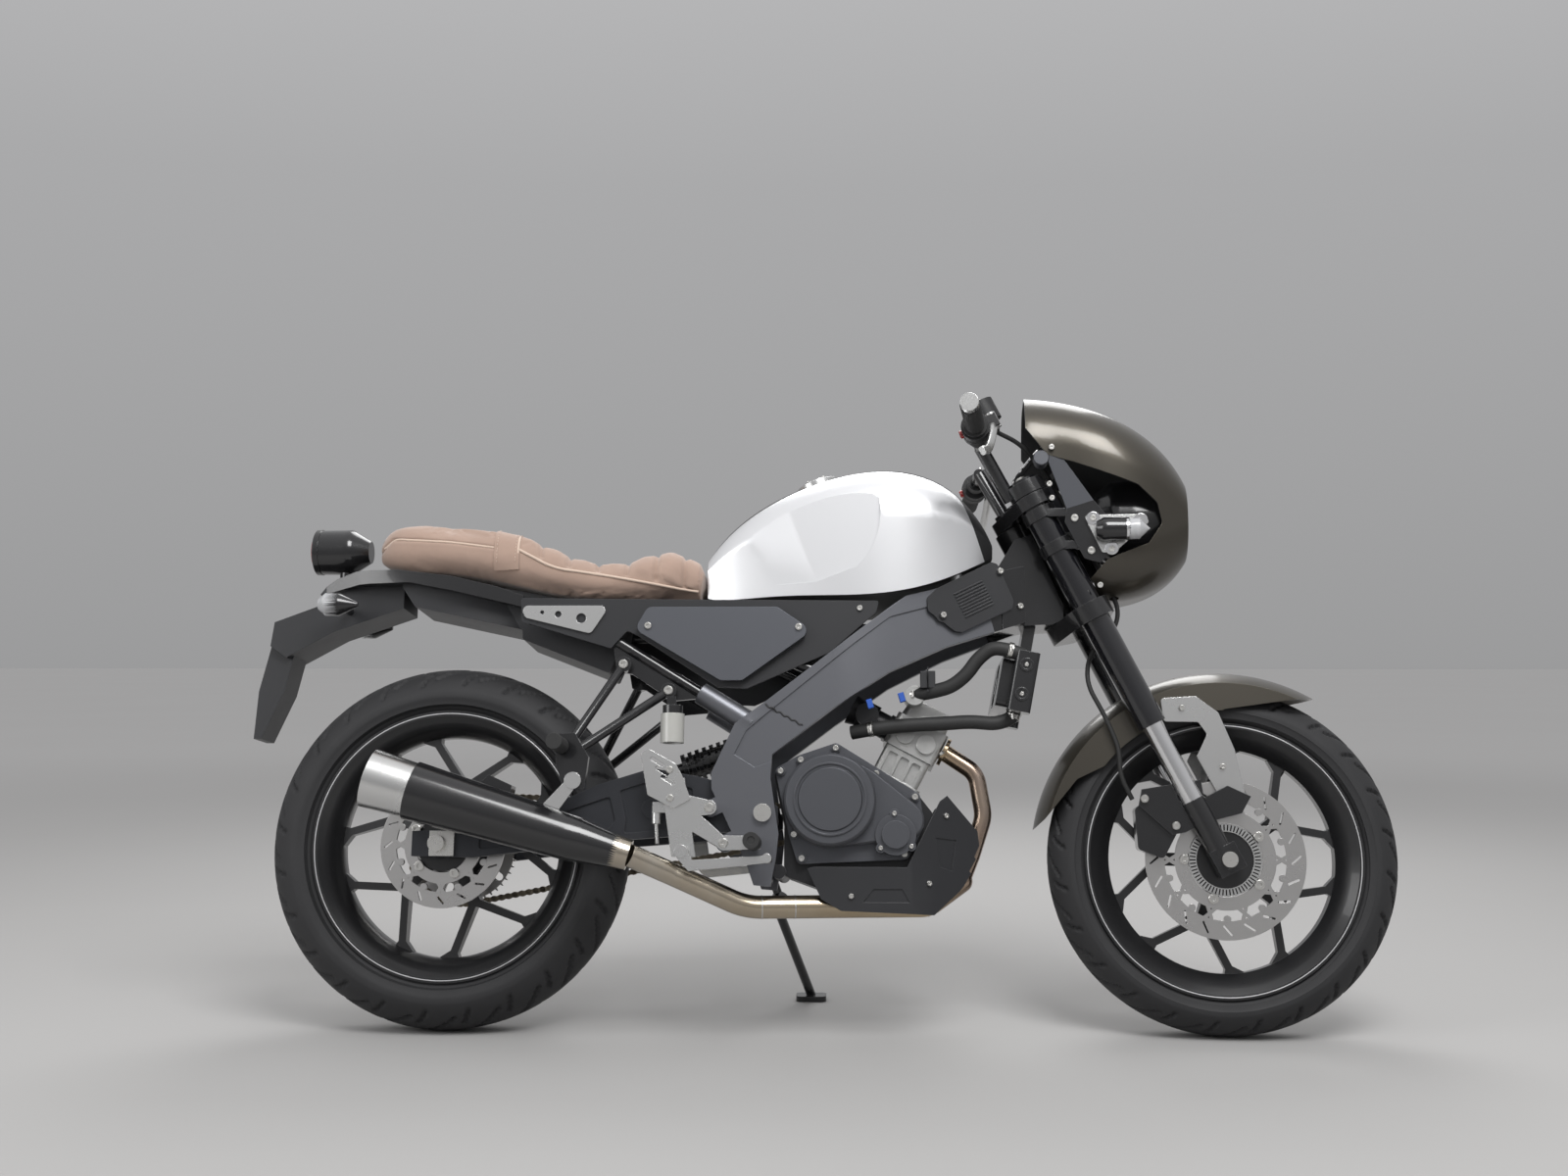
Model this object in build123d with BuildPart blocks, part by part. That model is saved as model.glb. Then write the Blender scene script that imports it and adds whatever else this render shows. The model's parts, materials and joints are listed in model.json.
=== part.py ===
from build123d import *
import os
from math import atan2, cos, degrees, radians, sin, tan

# A small cafe racer motorcycle, parked on its side stand.
# It is modelled upright: x forward from the rear axle, y to the left, z up from the road.
# The places at the end of this section then turn the steering and lean the whole machine.

os.makedirs("parts", exist_ok=True)

# Layout
wheelbase = 1330
front_radius = 295
rear_radius = 312
lean = 9.5
steer = -4
rake = 26.4
axle_offset = 50
leg_offset = 45
leg_spread = 92
origin_x = 635
origin_y = 166
fit = 0.3
running = 0.05

# Wheels
front_tyre_width = 112
rear_tyre_width = 140
crown_share = 0.34
front_squash = 0.34
front_rim_half = 46
rear_rim_half = 58
lip_radius = 232
bead_radius = 218
well_radius = 203
barrel_radius = 190
vertex_radius = 104
foot_angle = 23
spoke_width = 13
spoke_root, spoke_depth, spoke_foot = 46, 32, 22
axle_radius = 8.5
hub_radius = 42
front_disc_radius, front_disc_ring, front_disc_carrier, front_disc_inner = 133, 101, 84, 62
front_disc_place = 60
rear_disc_radius, rear_disc_ring, rear_disc_carrier, rear_disc_inner = 107, 80, 66, 47
rear_disc_place = 74
disc_thickness = 5
sprocket_bolt_radius = 56

# Final drive
pitch = 12.7
rear_teeth = 48
front_teeth = 14
chain_line = 88
chain_width = 16
chain_height = 12
sprocket_x = 608
sprocket_z = 362
sprocket_thickness = 6

# Frame and swingarm
frame_inner = 118
frame_outer = 136
pivot_x, pivot_z = 549, 364
pivot_bolt_radius = 9
arm_inner = 99
arm_outer = 117
head_tube_radius = 32
stem_radius = 14
head_low, head_high = 487, 675

# Fork, measured along the steering axis from the axle's level
tube_radius = 25
tube_low, tube_high = 254, 730
slider_radius = 18.5
slider_low = 112
foot_radius = 20
yoke_low, yoke_low_thickness = 456, 30
yoke_high, yoke_high_thickness = 676, 22
clip_low, clip_thickness = 700, 24

# The front end's own numbers are drawn for an axle at this place, and move with the real one
drawn_axle_x, drawn_axle_z = 1330, 295
ahead, raised = wheelbase - drawn_axle_x, front_radius - drawn_axle_z

rake_sin, rake_cos = sin(radians(rake)), cos(radians(rake))
axis_x = drawn_axle_x - axle_offset * rake_cos
axis_z = drawn_axle_z - axle_offset * rake_sin
crown_radius = rear_tyre_width * (0.25 + crown_share**2) / (2 * crown_share)
crown_drop = crown_radius * (1 - cos(radians(lean)))

# Places
parked = Location((-origin_x, -origin_y, crown_drop)) * Location((0, 0, 0), (-lean, 0, 0))
fork_plane = Plane(
    origin=(axis_x, 0, axis_z), x_dir=(rake_cos, 0, rake_sin), z_dir=(-rake_sin, 0, rake_cos)
)
head_place = Location((ahead, 0, raised)) * fork_plane.location
head_plane = Plane(head_place)
fork = parked * head_place * Location((0, 0, 0), (0, 0, steer))
steered = fork * fork_plane.location.inverse()
front_hub = steered * Location((drawn_axle_x, 0, drawn_axle_z), (90, 0, 0))
rear_hub = parked * Location((0, 0, rear_radius), (90, 0, 0))


def side(offset):
    """Plane facing right, this far to the right of the middle: x forward, y up."""
    return Plane(origin=(0, -offset, 0), x_dir=(1, 0, 0), z_dir=(0, -1, 0))


def save(piece, name, place):
    """Name a finished piece, set it in its place and write it."""
    placed = piece.moved(place)
    placed.label = name
    export_step(placed, f"parts/{name}.step")


def rod(start, end, radius):
    """Round bar from start to end."""
    run = Vector(*end) - Vector(*start)
    with BuildPart(Plane(origin=start, z_dir=run)) as bar:
        Cylinder(radius, run.length, align=(Align.CENTER, Align.CENTER, Align.MIN))
    return bar.part


def tube(points, radius, bends):
    """Round tube along straight runs joined by tangent arcs."""
    with BuildPart() as bent:
        with BuildLine() as route:
            FilletPolyline(*points, radius=bends)
        with BuildSketch(Plane(origin=route.line @ 0, z_dir=route.line % 0)):
            Circle(radius)
        sweep(path=route.line)
    return bent.part


def corner_radii(points):
    """Radii of the widest arcs that fit the corners of a route."""
    radii = []
    for before, corner, after in zip(points, points[1:], points[2:]):
        run_in = Vector(*corner) - Vector(*before)
        run_out = Vector(*after) - Vector(*corner)
        half_turn = radians(run_in.get_angle(run_out)) / 2
        radii.append(0.45 * min(run_in.length, run_out.length) / tan(half_turn))
    return radii


def panel(outline, inner, outer, corner=0):
    """Flat panel on the right: a side outline between two distances from the middle."""
    with BuildPart() as sheet:
        with BuildSketch(side(inner)) as face:
            with BuildLine():
                Polyline(*outline, close=True)
            make_face()
            if corner:
                fillet(face.vertices(), corner)
        extrude(amount=outer - inner)
    return sheet.part


def body(stations):
    """Smooth body through rounded sections: x, half width, bottom, top, corner radius."""
    with BuildPart() as form:
        for x, half, low, high, corner in stations:
            with BuildSketch(Plane.YZ.offset(x)):
                with Locations((0, (low + high) / 2)):
                    RectangleRounded(2 * half, high - low, corner)
        loft()
    return form.part


# Wheels, each about its own axle: x forward, y up, z to the right
def tyre(radius, width, rim_half):
    """Tyre section turned about the axle: its crown has a corner where it meets the road."""
    crown = width * (0.25 + crown_share**2) / (2 * crown_share)
    bead = rim_half - 6
    shoulder = radius - width * crown_share
    crown_points = [
        (radius - crown * (1 - cos(radians(turn))), crown * sin(radians(turn)))
        for turn in (lean, 4 * lean)
    ]
    half_section = crown_points + [
        (shoulder, width / 2),
        ((shoulder + lip_radius) / 2 + 3, width / 2 - 1),
        (lip_radius + 2, bead + 1),
        (bead_radius + fit, bead - fit),
    ]
    with BuildPart() as ring:
        with BuildSketch(Plane.XZ):
            with BuildLine():
                Polyline(*half_section, *[(r, -y) for r, y in reversed(half_section)], close=True)
            make_face()
        revolve(axis=Axis.Z)
    return ring.part


def cast_wheel(rim_half, first_angle, hub_left, hub_right):
    """Cast rim, five forked spokes that thin towards the rim, and a hub bored for the axle."""
    seat = rim_half - 6
    with BuildPart() as spokes:
        with BuildSketch(Plane.XY):
            with PolarLocations(0, 5, start_angle=first_angle):
                with Locations(((hub_radius + vertex_radius) / 2, 0)):
                    Rectangle(vertex_radius - hub_radius + 20, spoke_width * 1.7)
                for turn in (-foot_angle, foot_angle):
                    foot = Vector(barrel_radius + 5, 0).rotate(Axis.Z, turn)
                    run = foot - Vector(vertex_radius, 0)
                    angle = degrees(atan2(run.Y, run.X))
                    with Locations(Location((vertex_radius, 0, 0), (0, 0, angle))):
                        with Locations((run.length / 2, 0)):
                            Rectangle(run.length, spoke_width)
                        with Locations((run.length - 9, 0)):
                            Trapezoid(
                                40, 20, 52, rotation=90, align=(Align.CENTER, Align.CENTER)
                            )
        extrude(amount=spoke_root / 2, both=True)
        with BuildSketch(Plane.XZ):
            with BuildLine():
                Polyline(
                    (0, spoke_root / 2),
                    (hub_radius, spoke_root / 2),
                    (vertex_radius, spoke_depth / 2),
                    (barrel_radius + 8, spoke_foot / 2),
                    (barrel_radius + 8, -spoke_foot / 2),
                    (vertex_radius, -spoke_depth / 2),
                    (hub_radius, -spoke_root / 2),
                    (0, -spoke_root / 2),
                    close=True,
                )
            make_face()
        revolve(axis=Axis.Z, mode=Mode.INTERSECT)
    with BuildPart() as cast:
        with BuildSketch(Plane.XZ):
            with BuildLine():
                Polyline(
                    (lip_radius, rim_half),
                    (lip_radius, seat + 1.5),
                    (bead_radius, seat),
                    (bead_radius, seat - 14),
                    (well_radius, seat - 26),
                    (well_radius, 26 - seat),
                    (bead_radius, 14 - seat),
                    (bead_radius, -seat),
                    (lip_radius, -seat - 1.5),
                    (lip_radius, -rim_half),
                    (lip_radius - 8, -rim_half),
                    (barrel_radius + 14, 16 - rim_half),
                    (barrel_radius, -14),
                    (barrel_radius, 14),
                    (barrel_radius + 14, rim_half - 16),
                    (lip_radius - 8, rim_half),
                    close=True,
                )
            make_face()
        revolve(axis=Axis.Z)
        add(spokes.part)
        with BuildSketch(Plane.XZ):
            with BuildLine():
                Polyline(
                    (0, hub_right),
                    (hub_radius - 8, hub_right),
                    (hub_radius - 4, spoke_root / 2 + 4),
                    (hub_radius + 6, spoke_root / 2 - 4),
                    (hub_radius + 6, 4 - spoke_root / 2),
                    (hub_radius - 4, -spoke_root / 2 - 4),
                    (hub_radius - 4, -hub_left),
                    (0, -hub_left),
                    close=True,
                )
            make_face()
        revolve(axis=Axis.Z)
        Hole(axle_radius + running)
    return cast.part


def disc_flange(reach, place, count, first_angle):
    """Lobed flange on the hub that a disc or a sprocket is bolted to, its face at this place."""
    with BuildPart() as flange:
        with BuildSketch(Plane.XY.offset(place)):
            Circle(reach - 8)
            with PolarLocations(reach, count, start_angle=first_angle):
                Circle(11)
            Circle(axle_radius + 4, mode=Mode.SUBTRACT)
        extrude(amount=-9 if place > 0 else 9)
    return flange.part


with BuildPart() as front_tyre:
    add(tyre(front_radius - front_squash, front_tyre_width, front_rim_half))

with BuildPart() as rear_tyre:
    add(tyre(rear_radius, rear_tyre_width, rear_rim_half))

with BuildPart() as front_wheel:
    add(cast_wheel(front_rim_half, 35, 50, front_disc_place))
    add(disc_flange(front_disc_inner + 6, front_disc_place, 5, 35))

with BuildPart() as rear_wheel:
    add(cast_wheel(rear_rim_half, 7, chain_line - sprocket_thickness / 2, rear_disc_place))
    add(disc_flange(rear_disc_inner + 6, rear_disc_place, 5, 7))
    add(disc_flange(sprocket_bolt_radius, sprocket_thickness / 2 - chain_line, 5, 7))


def brake_disc(radius, ring, carrier, inner, arms, place):
    """Brake disc: a slotted friction ring held to its carrier by pairs of leaning arms."""
    with BuildPart() as disc:
        with BuildSketch(Plane.XY.offset(place)):
            Circle(radius)
            Circle(ring, mode=Mode.SUBTRACT)
            Circle(carrier)
            Circle(inner, mode=Mode.SUBTRACT)
            for tilt in (-32, 32):
                with PolarLocations((carrier + ring) / 2, arms):
                    Rectangle(ring - carrier + 8, 6, rotation=tilt)
            with PolarLocations((radius + ring) / 2, 2 * arms):
                SlotOverall(radius - ring - 10, 3.5, rotation=40, mode=Mode.SUBTRACT)
        extrude(amount=disc_thickness)
        with BuildSketch(Plane.XY.offset(place - 1)):
            with PolarLocations(ring - 3, arms, start_angle=180 / arms):
                Circle(6)
        extrude(amount=disc_thickness + 2)
    return disc.part


with BuildPart() as front_disc:
    add(brake_disc(front_disc_radius, front_disc_ring, front_disc_carrier, front_disc_inner, 10,
                   front_disc_place))

with BuildPart() as rear_disc:
    add(brake_disc(rear_disc_radius, rear_disc_ring, rear_disc_carrier, rear_disc_inner, 8,
                   rear_disc_place))

# Chain and sprockets
rear_pitch_radius = pitch / (2 * sin(radians(180 / rear_teeth)))
front_pitch_radius = pitch / (2 * sin(radians(180 / front_teeth)))
roller_radius = 4.2
tooth_width = 5


def sprocket(pitch_radius, teeth, bore):
    """Toothed disc whose rollers would lie on the pitch circle."""
    with BuildPart() as gear:
        with BuildSketch(Plane.XY):
            Circle(pitch_radius - roller_radius - 1)
            with PolarLocations(pitch_radius - roller_radius, teeth, start_angle=180 / teeth):
                Trapezoid(tooth_width, 8, 78, rotation=-90)
            Circle(bore, mode=Mode.SUBTRACT)
        extrude(amount=sprocket_thickness / 2, both=True)
    return gear.part


with BuildPart() as rear_sprocket:
    with Locations((0, 0, -chain_line)):
        add(sprocket(rear_pitch_radius, rear_teeth, hub_radius + fit))
    with BuildSketch(Plane.XY.offset(-chain_line - sprocket_thickness / 2)):
        with PolarLocations(sprocket_bolt_radius + 20, 10):
            SlotOverall(26, 13)
    extrude(amount=sprocket_thickness, mode=Mode.SUBTRACT)

with BuildPart() as drive_chain:
    with BuildSketch(side(-chain_line - chain_width / 2)):
        with Locations((0, rear_radius)):
            Circle(rear_pitch_radius + chain_height / 2)
        with Locations((sprocket_x, sprocket_z)):
            Circle(front_pitch_radius + chain_height / 2)
        make_hull()
    extrude(amount=chain_width)
    with BuildSketch(side(-chain_line - chain_width / 2)):
        with Locations((0, rear_radius)):
            Circle(rear_pitch_radius - chain_height / 2)
        with Locations((sprocket_x, sprocket_z)):
            Circle(front_pitch_radius - chain_height / 2)
        make_hull()
    extrude(amount=chain_width, mode=Mode.SUBTRACT)
    with BuildSketch(side(-chain_line - 4)):
        with Locations((0, rear_radius)):
            Circle(rear_pitch_radius + 2.5)
        with Locations((sprocket_x, sprocket_z)):
            Circle(front_pitch_radius + 2.5)
        make_hull()
    extrude(amount=8, mode=Mode.SUBTRACT)

    with BuildSketch(side(-chain_line - sprocket_thickness / 2)):
        with Locations((sprocket_x, sprocket_z)):
            Circle(front_pitch_radius + 1.5)
    extrude(amount=sprocket_thickness)
    add(rod((sprocket_x, 72 + fit, sprocket_z), (sprocket_x, chain_line + 12, sprocket_z), 10))

# Main frame: two spars that close in on the steering head
spar_bend_x, spar_end_x = 700, 1000 + ahead
spar_outline = [
    (spar_end_x, 800 + raised), (905, 776), (836, 750), (792, 738), (764, 717), (668, 641), (549, 549),
    (501, 514), (462, 430), (463, 404), (522, 282), (535, 245), (563, 243), (572, 290),
    (576, 330), (562, 422), (564, 462), (668, 541), (763, 605), (861, 652),
    (spar_end_x, 700 + raised),
]
spar_end_half = 62
spar_wall = frame_outer - frame_inner
arm_bolts = [(462, 371), (486, 313)]
head_outline = [(930, 694), (1068, 700), (1068, 730), (1015, 860), (985, 850), (940, 776)]

# The spars' outer faces step in below a ridge that follows their upper edge
relief_depth = 3
relief_outline = [
    (960, 748), (905, 735), (836, 722), (764, 700), (668, 624), (560, 536), (520, 502), (500, 462),
    (535, 440), (568, 452), (668, 520), (763, 580), (861, 630), (960, 668),
]
with BuildPart() as spar_relief:
    with BuildSketch(side(0)):
        with BuildLine():
            Polyline(*relief_outline, close=True)
        make_face()
    extrude(amount=2 * frame_outer, both=True)
    with BuildSketch(Plane.XY):
        with BuildLine():
            Polyline(
                (400, frame_outer - relief_depth),
                (spar_bend_x, frame_outer - relief_depth),
                (spar_end_x, spar_end_half - relief_depth),
                (spar_end_x, 2 * frame_outer),
                (400, 2 * frame_outer),
                close=True,
            )
        make_face()
        mirror(about=Plane.XZ)
    extrude(amount=1000, mode=Mode.INTERSECT)

with BuildPart() as main_frame:
    with BuildSketch(side(0)):
        with BuildLine():
            Polyline(*spar_outline, close=True)
        make_face()
    extrude(amount=frame_outer, both=True)
    with BuildSketch(Plane.XY):
        with BuildLine():
            Polyline(
                (400, frame_inner),
                (spar_bend_x, frame_inner),
                (spar_end_x, spar_end_half - spar_wall),
                (spar_end_x, spar_end_half),
                (spar_bend_x, frame_outer),
                (400, frame_outer),
                close=True,
            )
        make_face()
        mirror(about=Plane.XZ)
    extrude(amount=1000, mode=Mode.INTERSECT)
    add(spar_relief.part, mode=Mode.SUBTRACT)
    with BuildSketch(side(0)):
        with BuildLine():
            Polyline(*[(x + ahead, z + raised) for x, z in head_outline], close=True)
        make_face()
    extrude(amount=spar_end_half - 15, both=True)
    with BuildSketch(head_plane.offset(head_low)):
        Circle(head_tube_radius)
    extrude(amount=head_high - head_low)
    with BuildSketch(head_plane.offset(head_low - 60)):
        Circle(stem_radius + running)
    extrude(amount=head_high - head_low + 120, mode=Mode.SUBTRACT)
    with BuildSketch(head_plane.offset(head_high)):
        Circle(60)
    extrude(amount=80, mode=Mode.SUBTRACT)
    with BuildSketch(head_plane.offset(head_low)):
        Circle(120)
    extrude(amount=-80, mode=Mode.SUBTRACT)
    add(rod((540, -frame_inner - 5, 498), (540, frame_inner + 5, 498), 16))
    for face in (-1, 1):
        add(rod((441, face * 112, 568.4), (530, face * 118, 514), 19))
    add(rod((545, -frame_inner - 5, 262), (545, frame_inner + 5, 262), 13))
    for x, z in arm_bolts:
        for offset in (frame_inner, -frame_outer):
            with BuildSketch(side(offset)):
                with Locations((x, z), (x + 36, z + 17)):
                    Circle(14)
                make_hull()
            extrude(amount=spar_wall)
    add(rod((pivot_x, -200, pivot_z), (pivot_x, 200, pivot_z), pivot_bolt_radius + running),
        mode=Mode.SUBTRACT)

# Ribbed covers beside the steering head, drawn on the spars' slanted outer faces
cover_plane = Plane(
    origin=(spar_bend_x, -frame_outer - fit, 0),
    x_dir=(spar_end_x - spar_bend_x, frame_outer - spar_end_half, 0),
    z_dir=(frame_outer - spar_end_half, spar_bend_x - spar_end_x, 0),
)
head_cover_outline = [
    (132, 712), (131, 735), (148, 752), (247, 803), (258, 800), (287, 736), (284, 722),
    (193, 677), (180, 678),
]
head_cover_bolts = [(158, 705), (262, 787)]
cover_thickness, cover_rib_height = 5, 2
cover_rib_pitch, cover_rib_width, cover_rib_angle = 5.5, 2.4, 27
with BuildPart() as head_covers:
    with BuildSketch(cover_plane) as cover_face:
        with BuildLine():
            Polyline(*head_cover_outline, close=True)
        make_face()
        fillet(cover_face.vertices(), 7)
        with Locations(head_cover_bolts[0]):
            Circle(12)
    extrude(amount=cover_thickness)
    with BuildSketch(cover_plane.offset(cover_thickness)):
        with Locations(Location((214, 736, 0), (0, 0, cover_rib_angle))):
            with GridLocations(0, cover_rib_pitch, 1, 9):
                Rectangle(58, cover_rib_width)
        with Locations(*head_cover_bolts):
            Circle(7)
    extrude(amount=cover_rib_height)
    mirror(about=Plane.XZ)

# Fuel tank
tank_stations = [
    # x, half width, bottom, side height, shoulder width, shoulder height, top
    (446, 70, 742, 790, 48, 812, 820),
    (520, 96, 737, 840, 60, 886, 899),
    (640, 122, 738, 880, 74, 946, 959),
    (760, 134, 741, 890, 78, 965, 981),
    (860, 118, 768, 880, 66, 940, 955),
    (944, 70, 812, 830, 44, 842, 846),
]
strip_height, strip_half = 2.5, 30
cap_x, cap_z, cap_tilt = 640, 950, 20
knee_front_x, knee_front_half, knee_angle = 748, 126, 7.5


def tank_form(rise):
    """Tank through its sections, its back raised by this much."""
    with BuildPart() as form:
        for x, half, low, flank, ridge, shoulder, top in tank_stations:
            flank_top, back = shoulder + rise, top + rise
            swell = ((half * 1.9 + ridge) / 2.9, (flank + 1.3 * flank_top) / 2.3)
            with BuildSketch(Plane.YZ.offset(x)):
                with BuildLine():
                    Polyline((-half + 6, low), (half - 6, low), (half, flank))
                    ThreePointArc((half, flank), swell, (ridge, flank_top))
                    ThreePointArc((ridge, flank_top), (0, back), (-ridge, flank_top))
                    ThreePointArc((-ridge, flank_top), (-swell[0], swell[1]), (-half, flank))
                    Line((-half, flank), (-half + 6, low))
                make_face()
        loft()
    return form.part


with BuildPart() as tank_strip:
    add(tank_form(strip_height))
    with BuildSketch(Plane.XY):
        with BuildLine():
            Polyline((446, 20), (560, strip_half), (820, strip_half), (944, 16), (944, -16),
                     (820, -strip_half), (560, -strip_half), (446, -20), close=True)
        make_face()
    extrude(amount=1100, mode=Mode.INTERSECT)

# Hollows in the tank's sides for the rider's knees, with a crisp curved front edge
knee_sin, knee_cos = sin(radians(knee_angle)), cos(radians(knee_angle))
knee_plane = Plane(
    origin=(knee_front_x, -knee_front_half, 0),
    x_dir=(knee_cos, -knee_sin, 0),
    z_dir=(-knee_sin, -knee_cos, 0),
)
with BuildPart() as knee_hollows:
    with BuildSketch(knee_plane):
        with BuildLine():
            ThreePointArc((-10, 935), (-1, 862), (-42, 786))
            Polyline((-42, 786), (-110, 762), (-250, 756), (-310, 800), (-310, 935), (-10, 935))
        make_face()
    extrude(amount=60)
    mirror(about=Plane.XZ)

cap_sin, cap_cos = sin(radians(cap_tilt)), cos(radians(cap_tilt))
cap_plane = Plane(origin=(cap_x, 0, cap_z), x_dir=(cap_cos, 0, cap_sin), z_dir=(-cap_sin, 0, cap_cos))
with BuildPart() as fuel_tank:
    add(tank_form(0))
    add(tank_strip.part)
    add(knee_hollows.part, mode=Mode.SUBTRACT)
    with BuildSketch(cap_plane):
        Circle(36)
    extrude(amount=15)
    with BuildSketch(cap_plane.offset(15)):
        Circle(29)
    extrude(amount=3)
    for face in (-1, 1):
        add(rod((880, face * 82, 755), (880, face * 82, 800), 9))
    add(rod((462, 0, 716), (462, 0, 760), 10))
    add(main_frame.part, mode=Mode.SUBTRACT)

# Swingarm
arm_outline = [
    (-44, 291), (60, 289), (300, 318), (549, 338), (574, 352), (574, 376), (549, 391),
    (450, 424), (360, 440), (270, 412), (130, 350), (50, 335), (-44, 333),
]
arm_pockets = [
    [(70, 302), (280, 328), (300, 352), (290, 392), (150, 345), (70, 322)],
    [(314, 330), (430, 342), (430, 406), (370, 422), (306, 402), (318, 352)],
]
arm_pocket_depth = 4
with BuildPart() as swingarm:
    add(panel(arm_outline, arm_inner, arm_outer))
    for pocket in arm_pockets:
        add(panel(pocket, arm_outer - arm_pocket_depth, arm_outer, 5), mode=Mode.SUBTRACT)
    mirror(about=Plane.XZ)
    add(rod((pivot_x, -arm_outer, pivot_z), (pivot_x, arm_outer, pivot_z), 18))
    add(rod((360, -arm_outer, 372), (360, arm_outer, 372), 16))
    with Locations((372, 0, 410)):
        Box(36, 24, 70)
    add(rod((0, -200, rear_radius), (0, 200, rear_radius), axle_radius + running), mode=Mode.SUBTRACT)
    add(rod((pivot_x, -200, pivot_z), (pivot_x, 200, pivot_z), pivot_bolt_radius + running),
        mode=Mode.SUBTRACT)

with BuildPart() as axle_and_pivot:
    add(rod((0, -arm_outer - 12, rear_radius), (0, arm_outer + 12, rear_radius), axle_radius))
    add(rod((pivot_x, -frame_outer - 8, pivot_z), (pivot_x, frame_outer + 8, pivot_z), pivot_bolt_radius))
    for face in (-1, 1):
        near = (pivot_x, face * (frame_outer + fit), pivot_z)
        add(rod(near, (pivot_x, face * (frame_outer + 9), pivot_z), 15))
        with Locations((8, face * (arm_outer + fit + 3), rear_radius)):
            Box(42, 6, 42)
        outer = arm_outer + fit + 6
        add(rod((0, face * outer, rear_radius), (0, face * (outer + 9), rear_radius), 14))

# Shock absorber between the swingarm and the frame's upper cross tube
coil_turns, coil_share, coil_radius = 8, 0.55, 27
with BuildPart() as rear_shock:
    add(rod((382, 0, 440), (530, 0, 492), 13))
    shock_run = Vector(100, 0, 35)
    for turn in range(coil_turns):
        seat_at = Vector(405, 0, 448) + shock_run * (turn / coil_turns)
        add(rod(tuple(seat_at), tuple(seat_at + shock_run * (coil_share / coil_turns)), coil_radius))
    add(rod((405, 0, 448), (505, 0, 483), coil_radius - 6))
    add(swingarm.part, mode=Mode.SUBTRACT)
    add(main_frame.part, mode=Mode.SUBTRACT)

# Engine
case_left, case_right = 72, 95
case_outline = [
    (584, 262), (640, 242), (800, 240), (836, 290), (840, 360), (812, 396), (725, 444),
    (671, 474), (606, 456), (566, 436), (574, 392), (584, 346),
]
deck_x, deck_z = 769, 422
deck_angle = 27.7
deck = Plane(
    origin=(deck_x, 0, deck_z),
    x_dir=(cos(radians(deck_angle)), 0, -sin(radians(deck_angle))),
    z_dir=(sin(radians(deck_angle)), 0, cos(radians(deck_angle))),
)
guard_bolts = [(700, 252), (788, 262)]
guard_inner = 121
generator_x, generator_z = 748, 352
with BuildPart() as crankcase:
    with BuildSketch(side(-case_left)) as case_face:
        with BuildLine():
            Polyline(*case_outline, close=True)
        make_face()
        fillet(case_face.vertices(), 12)
    extrude(amount=case_left + case_right)
    with BuildSketch(deck):
        Rectangle(88, 110)
    extrude(amount=-40)
    add(rod((576, fit - frame_inner, 268), (576, frame_inner - fit, 268), 12))
    for x, z in guard_bolts:
        add(rod((x, fit - guard_inner, z), (x, guard_inner - fit, z), 8))
    with BuildSketch(side(-case_left - 52)):
        with Locations((generator_x, generator_z)):
            Circle(62)
    extrude(amount=52)
    with BuildSketch(side(fit - frame_inner)):
        with Locations((sprocket_x + 8, sprocket_z)):
            Circle(33)
        with Locations((generator_x, generator_z)):
            Circle(48)
        make_hull()
    extrude(amount=frame_inner - fit - 103)

clutch_x, clutch_z = 662, 387
clutch_radius, clutch_disc_radius = 77, 61
filter_x, filter_z, filter_radius = 771, 329, 28
flange_thickness, cover_depth, clutch_depth = 12, 30, 18
case_bolts = [
    (578, 436), (612, 455), (671, 475), (739, 432), (804, 393), (810, 346), (786, 298),
    (614, 290), (601, 330), (592, 394),
]
filter_bolts = [(769, 364), (746, 307), (797, 310)]
with BuildPart() as clutch_cover:
    with BuildSketch(side(case_right)):
        with Locations(*case_bolts):
            Circle(9)
        make_hull()
    extrude(amount=flange_thickness)
    with BuildSketch(side(case_right)):
        with Locations(*case_bolts):
            Circle(8)
    extrude(amount=flange_thickness + 5)
    with BuildSketch(side(case_right)):
        with Locations((clutch_x, clutch_z)):
            Circle(clutch_radius + 2)
        with Locations((788, 354)):
            Circle(31)
        with Locations((720, 410)):
            Circle(30)
        make_hull()
    extrude(amount=cover_depth)
    chamfer(clutch_cover.faces().sort_by(Axis.Y)[0].edges(), 3)
    with BuildSketch(side(case_right)):
        with Locations((clutch_x, clutch_z)):
            Circle(clutch_radius)
    extrude(amount=cover_depth + clutch_depth)
    chamfer(clutch_cover.faces().sort_by(Axis.Y)[0].edges(), 4)
    with BuildSketch(side(case_right + cover_depth + clutch_depth)):
        with Locations((clutch_x, clutch_z)):
            Circle(clutch_disc_radius)
            Circle(clutch_disc_radius - 3, mode=Mode.SUBTRACT)
    extrude(amount=3)
    with BuildSketch(side(case_right + cover_depth + clutch_depth)):
        with Locations((clutch_x, clutch_z)):
            Circle(clutch_disc_radius - 7)
    extrude(amount=2.4)
    with BuildSketch(side(case_right)):
        with Locations(*filter_bolts):
            Circle(8)
        with Locations((filter_x, filter_z)):
            Circle(filter_radius + 6)
    extrude(amount=cover_depth + 6)
    with BuildSketch(side(case_right)):
        with Locations((filter_x, filter_z)):
            Circle(filter_radius - 5)
    extrude(amount=cover_depth + 14)
    chamfer(clutch_cover.faces().sort_by(Axis.Y)[1].edges(), 2)

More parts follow.
